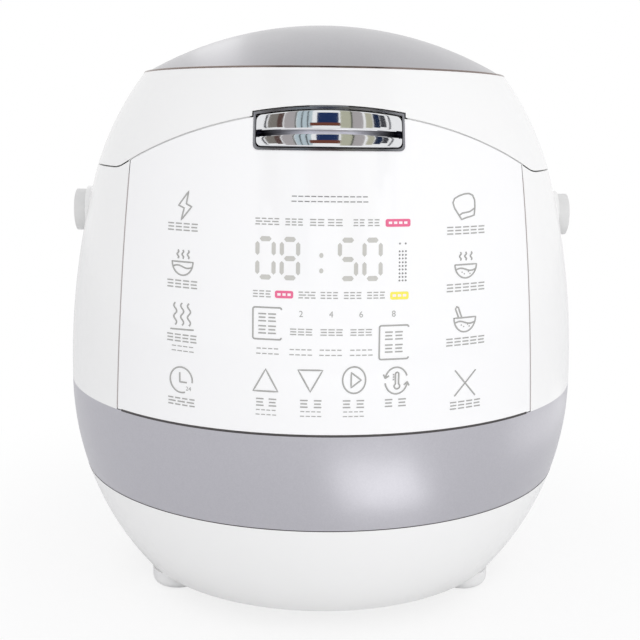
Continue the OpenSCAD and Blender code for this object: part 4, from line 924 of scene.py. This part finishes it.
def studio_card(name, rim, colour, strength=1.0):
    """A card that only the cooker's shiny parts see, given by two rows of points."""
    card = bpy.data.meshes.new(name)
    steps = len(rim[0])
    card.from_pydata(rim[0] + rim[1], [], [(j, j + 1, steps + j + 1, steps + j) for j in range(steps - 1)])
    finish = bpy.data.materials.new(name)
    finish.use_nodes = True
    finish.node_tree.nodes.clear()
    glow = add(finish.node_tree, "ShaderNodeEmission", {"Color": linear(colour), "Strength": strength})
    add(finish.node_tree, "ShaderNodeOutputMaterial", {"Surface": glow.outputs[0]})
    card.materials.append(finish)
    stand = bpy.data.objects.new(name, card)
    bpy.context.collection.objects.link(stand)
    stand.visible_camera = stand.visible_diffuse = stand.visible_shadow = False


# The radius and height of the latch's front, and how far the eye is to its left and in front.
latch_r, latch_z = 104.9 * mm, 226 * mm
eye_left, eye_away = 12 * mm, 425 * mm
# The facets drop to both ends, so they turn further out where they lean back more than this.
facet_lean, turn_growth = math.radians(26), 4.0
card_reach, card_gap, card_steps = 1.3, 0.01, 12


def before_latch(across, lift, reach):
    """Where a card's point stands to be mirrored by the latch, at a place across it and a lift in degrees."""
    x, lift = across * mm, math.radians(lift)
    view = math.atan((x + eye_left) / eye_away)
    turn = math.asin(x / latch_r) + turn_growth * x * math.tan(lift / 2 - facet_lean)
    fold = 1 + math.cos(lift)
    return (x + reach * (math.sin(view) + math.sin(turn) * fold),
            axis_y - latch_r * math.cos(turn) + reach * (math.cos(view) - math.cos(turn) * fold),
            latch_z + reach * math.sin(lift))


# Each card's two sides across the button in mm, its lifts and its colour.
for k, (sides, lifts, colour) in enumerate((
        ((-27.7, -23.4), (24, 100), "#85807A"), ((-23.4, -20.7), (20, 100), "#5E4B47"),
        ((-20.2, -15.4), (8, 118), "#B4AFAF"), ((-14.6, -7.6), (8, 118), "#C3D2D8"),
        ((-12.6, -12.0), (8, 118), "#4C5152"), ((-9.9, -9.3), (8, 118), "#4C5152"),
        ((-15.4, -14.8), (8, 118), "#5F625C"), ((-5.5, 4.0), (44, 92), "#26365F"),
        ((-8.6, 4.8), (24, 44), "#74463A"), ((4.9, 9.6), (8, 118), "#BDBDA8"),
        ((9.6, 10.3), (8, 118), "#565A4E"), ((10.3, 15.2), (8, 118), "#B4AFAF"),
        ((16.4, 19.6), (20, 105), "#BEBCA8"), ((20.0, 23.3), (26, 100), "#222F49"),
        ((23.5, 26.2), (34, 95), "#45464B"),
        ((-29.4, -28.4), (10, 110), "#3C3C42"), ((27.6, 28.6), (10, 110), "#55565C"))):
    stops = [lifts[0] + (lifts[1] - lifts[0]) * j / card_steps for j in range(card_steps + 1)]
    reach = card_reach - card_gap * k
    rim = [[before_latch(side, stop, reach) for stop in stops] for side in sides]
    studio_card(f"studio card {k + 1}", rim, colour)

# A tall bright card behind the cooker gives the dome its soft light patch. Its two sides
# are given in degrees round and above the place on the dome that mirrors it.
patch_at = (-0.045, -0.08, 0.257)
patch = [[(-12.0, 17), (-15.5, 24), (-19.3, 31), (-24.5, 40), (-31.0, 50)],
         [(-6.0, 18), (-9.0, 27), (-12.8, 36), (-17.5, 46), (-23.0, 56)]]


def behind_dome(turn, lift):
    """Where a point of the dome's card stands."""
    turn, lift = math.radians(turn), math.radians(lift)
    return (patch_at[0] + card_reach * math.cos(lift) * math.sin(turn),
            patch_at[1] + card_reach * math.cos(lift) * math.cos(turn),
            patch_at[2] + card_reach * math.sin(lift))


studio_card("dome card", [[behind_dome(*point) for point in side] for side in patch], "#FFFFFF", 1.45)

# Two bright cards lie on the floor, and the band mirrors them as a slanted stripe and a lighter end.
card_z = 0.6 * mm
studio_card("stripe card", [[(0.013, -0.341, card_z), (0.024, -0.214, card_z)],
                            [(0.161, -0.293, card_z), (0.114, -0.178, card_z)]], "#FFFFFF", 1.6)
studio_card("end card", [[(0.270, -0.10, card_z), (0.30, 0.24, card_z)],
                         [(0.48, -0.10, card_z), (0.48, 0.24, card_z)]], "#FFFFFF", 1.15)

camera_data = bpy.data.cameras.new("camera")
camera_data.lens = 57.6
camera = bpy.data.objects.new("camera", camera_data)
# The camera stands at this distance from the axis, turned by yaw, and looks down by pitch.
distance, height = 0.5299, 0.228
yaw, pitch, roll = math.radians(1.3), math.radians(10.9), math.radians(0.7)
aim = yaw - math.radians(0.07)
camera.location = (-distance * math.sin(yaw), axis_y - distance * math.cos(yaw), height)
view_way = Vector((math.sin(aim) * math.cos(pitch), math.cos(aim) * math.cos(pitch), -math.sin(pitch)))
camera.rotation_mode = "QUATERNION"
camera.rotation_quaternion = view_way.to_track_quat("-Z", "Y") @ Quaternion((0, 0, 1), roll)
camera_data.clip_start = 0.01
bpy.context.collection.objects.link(camera)
bpy.context.scene.camera = camera
bpy.context.scene.view_settings.view_transform = "Standard"
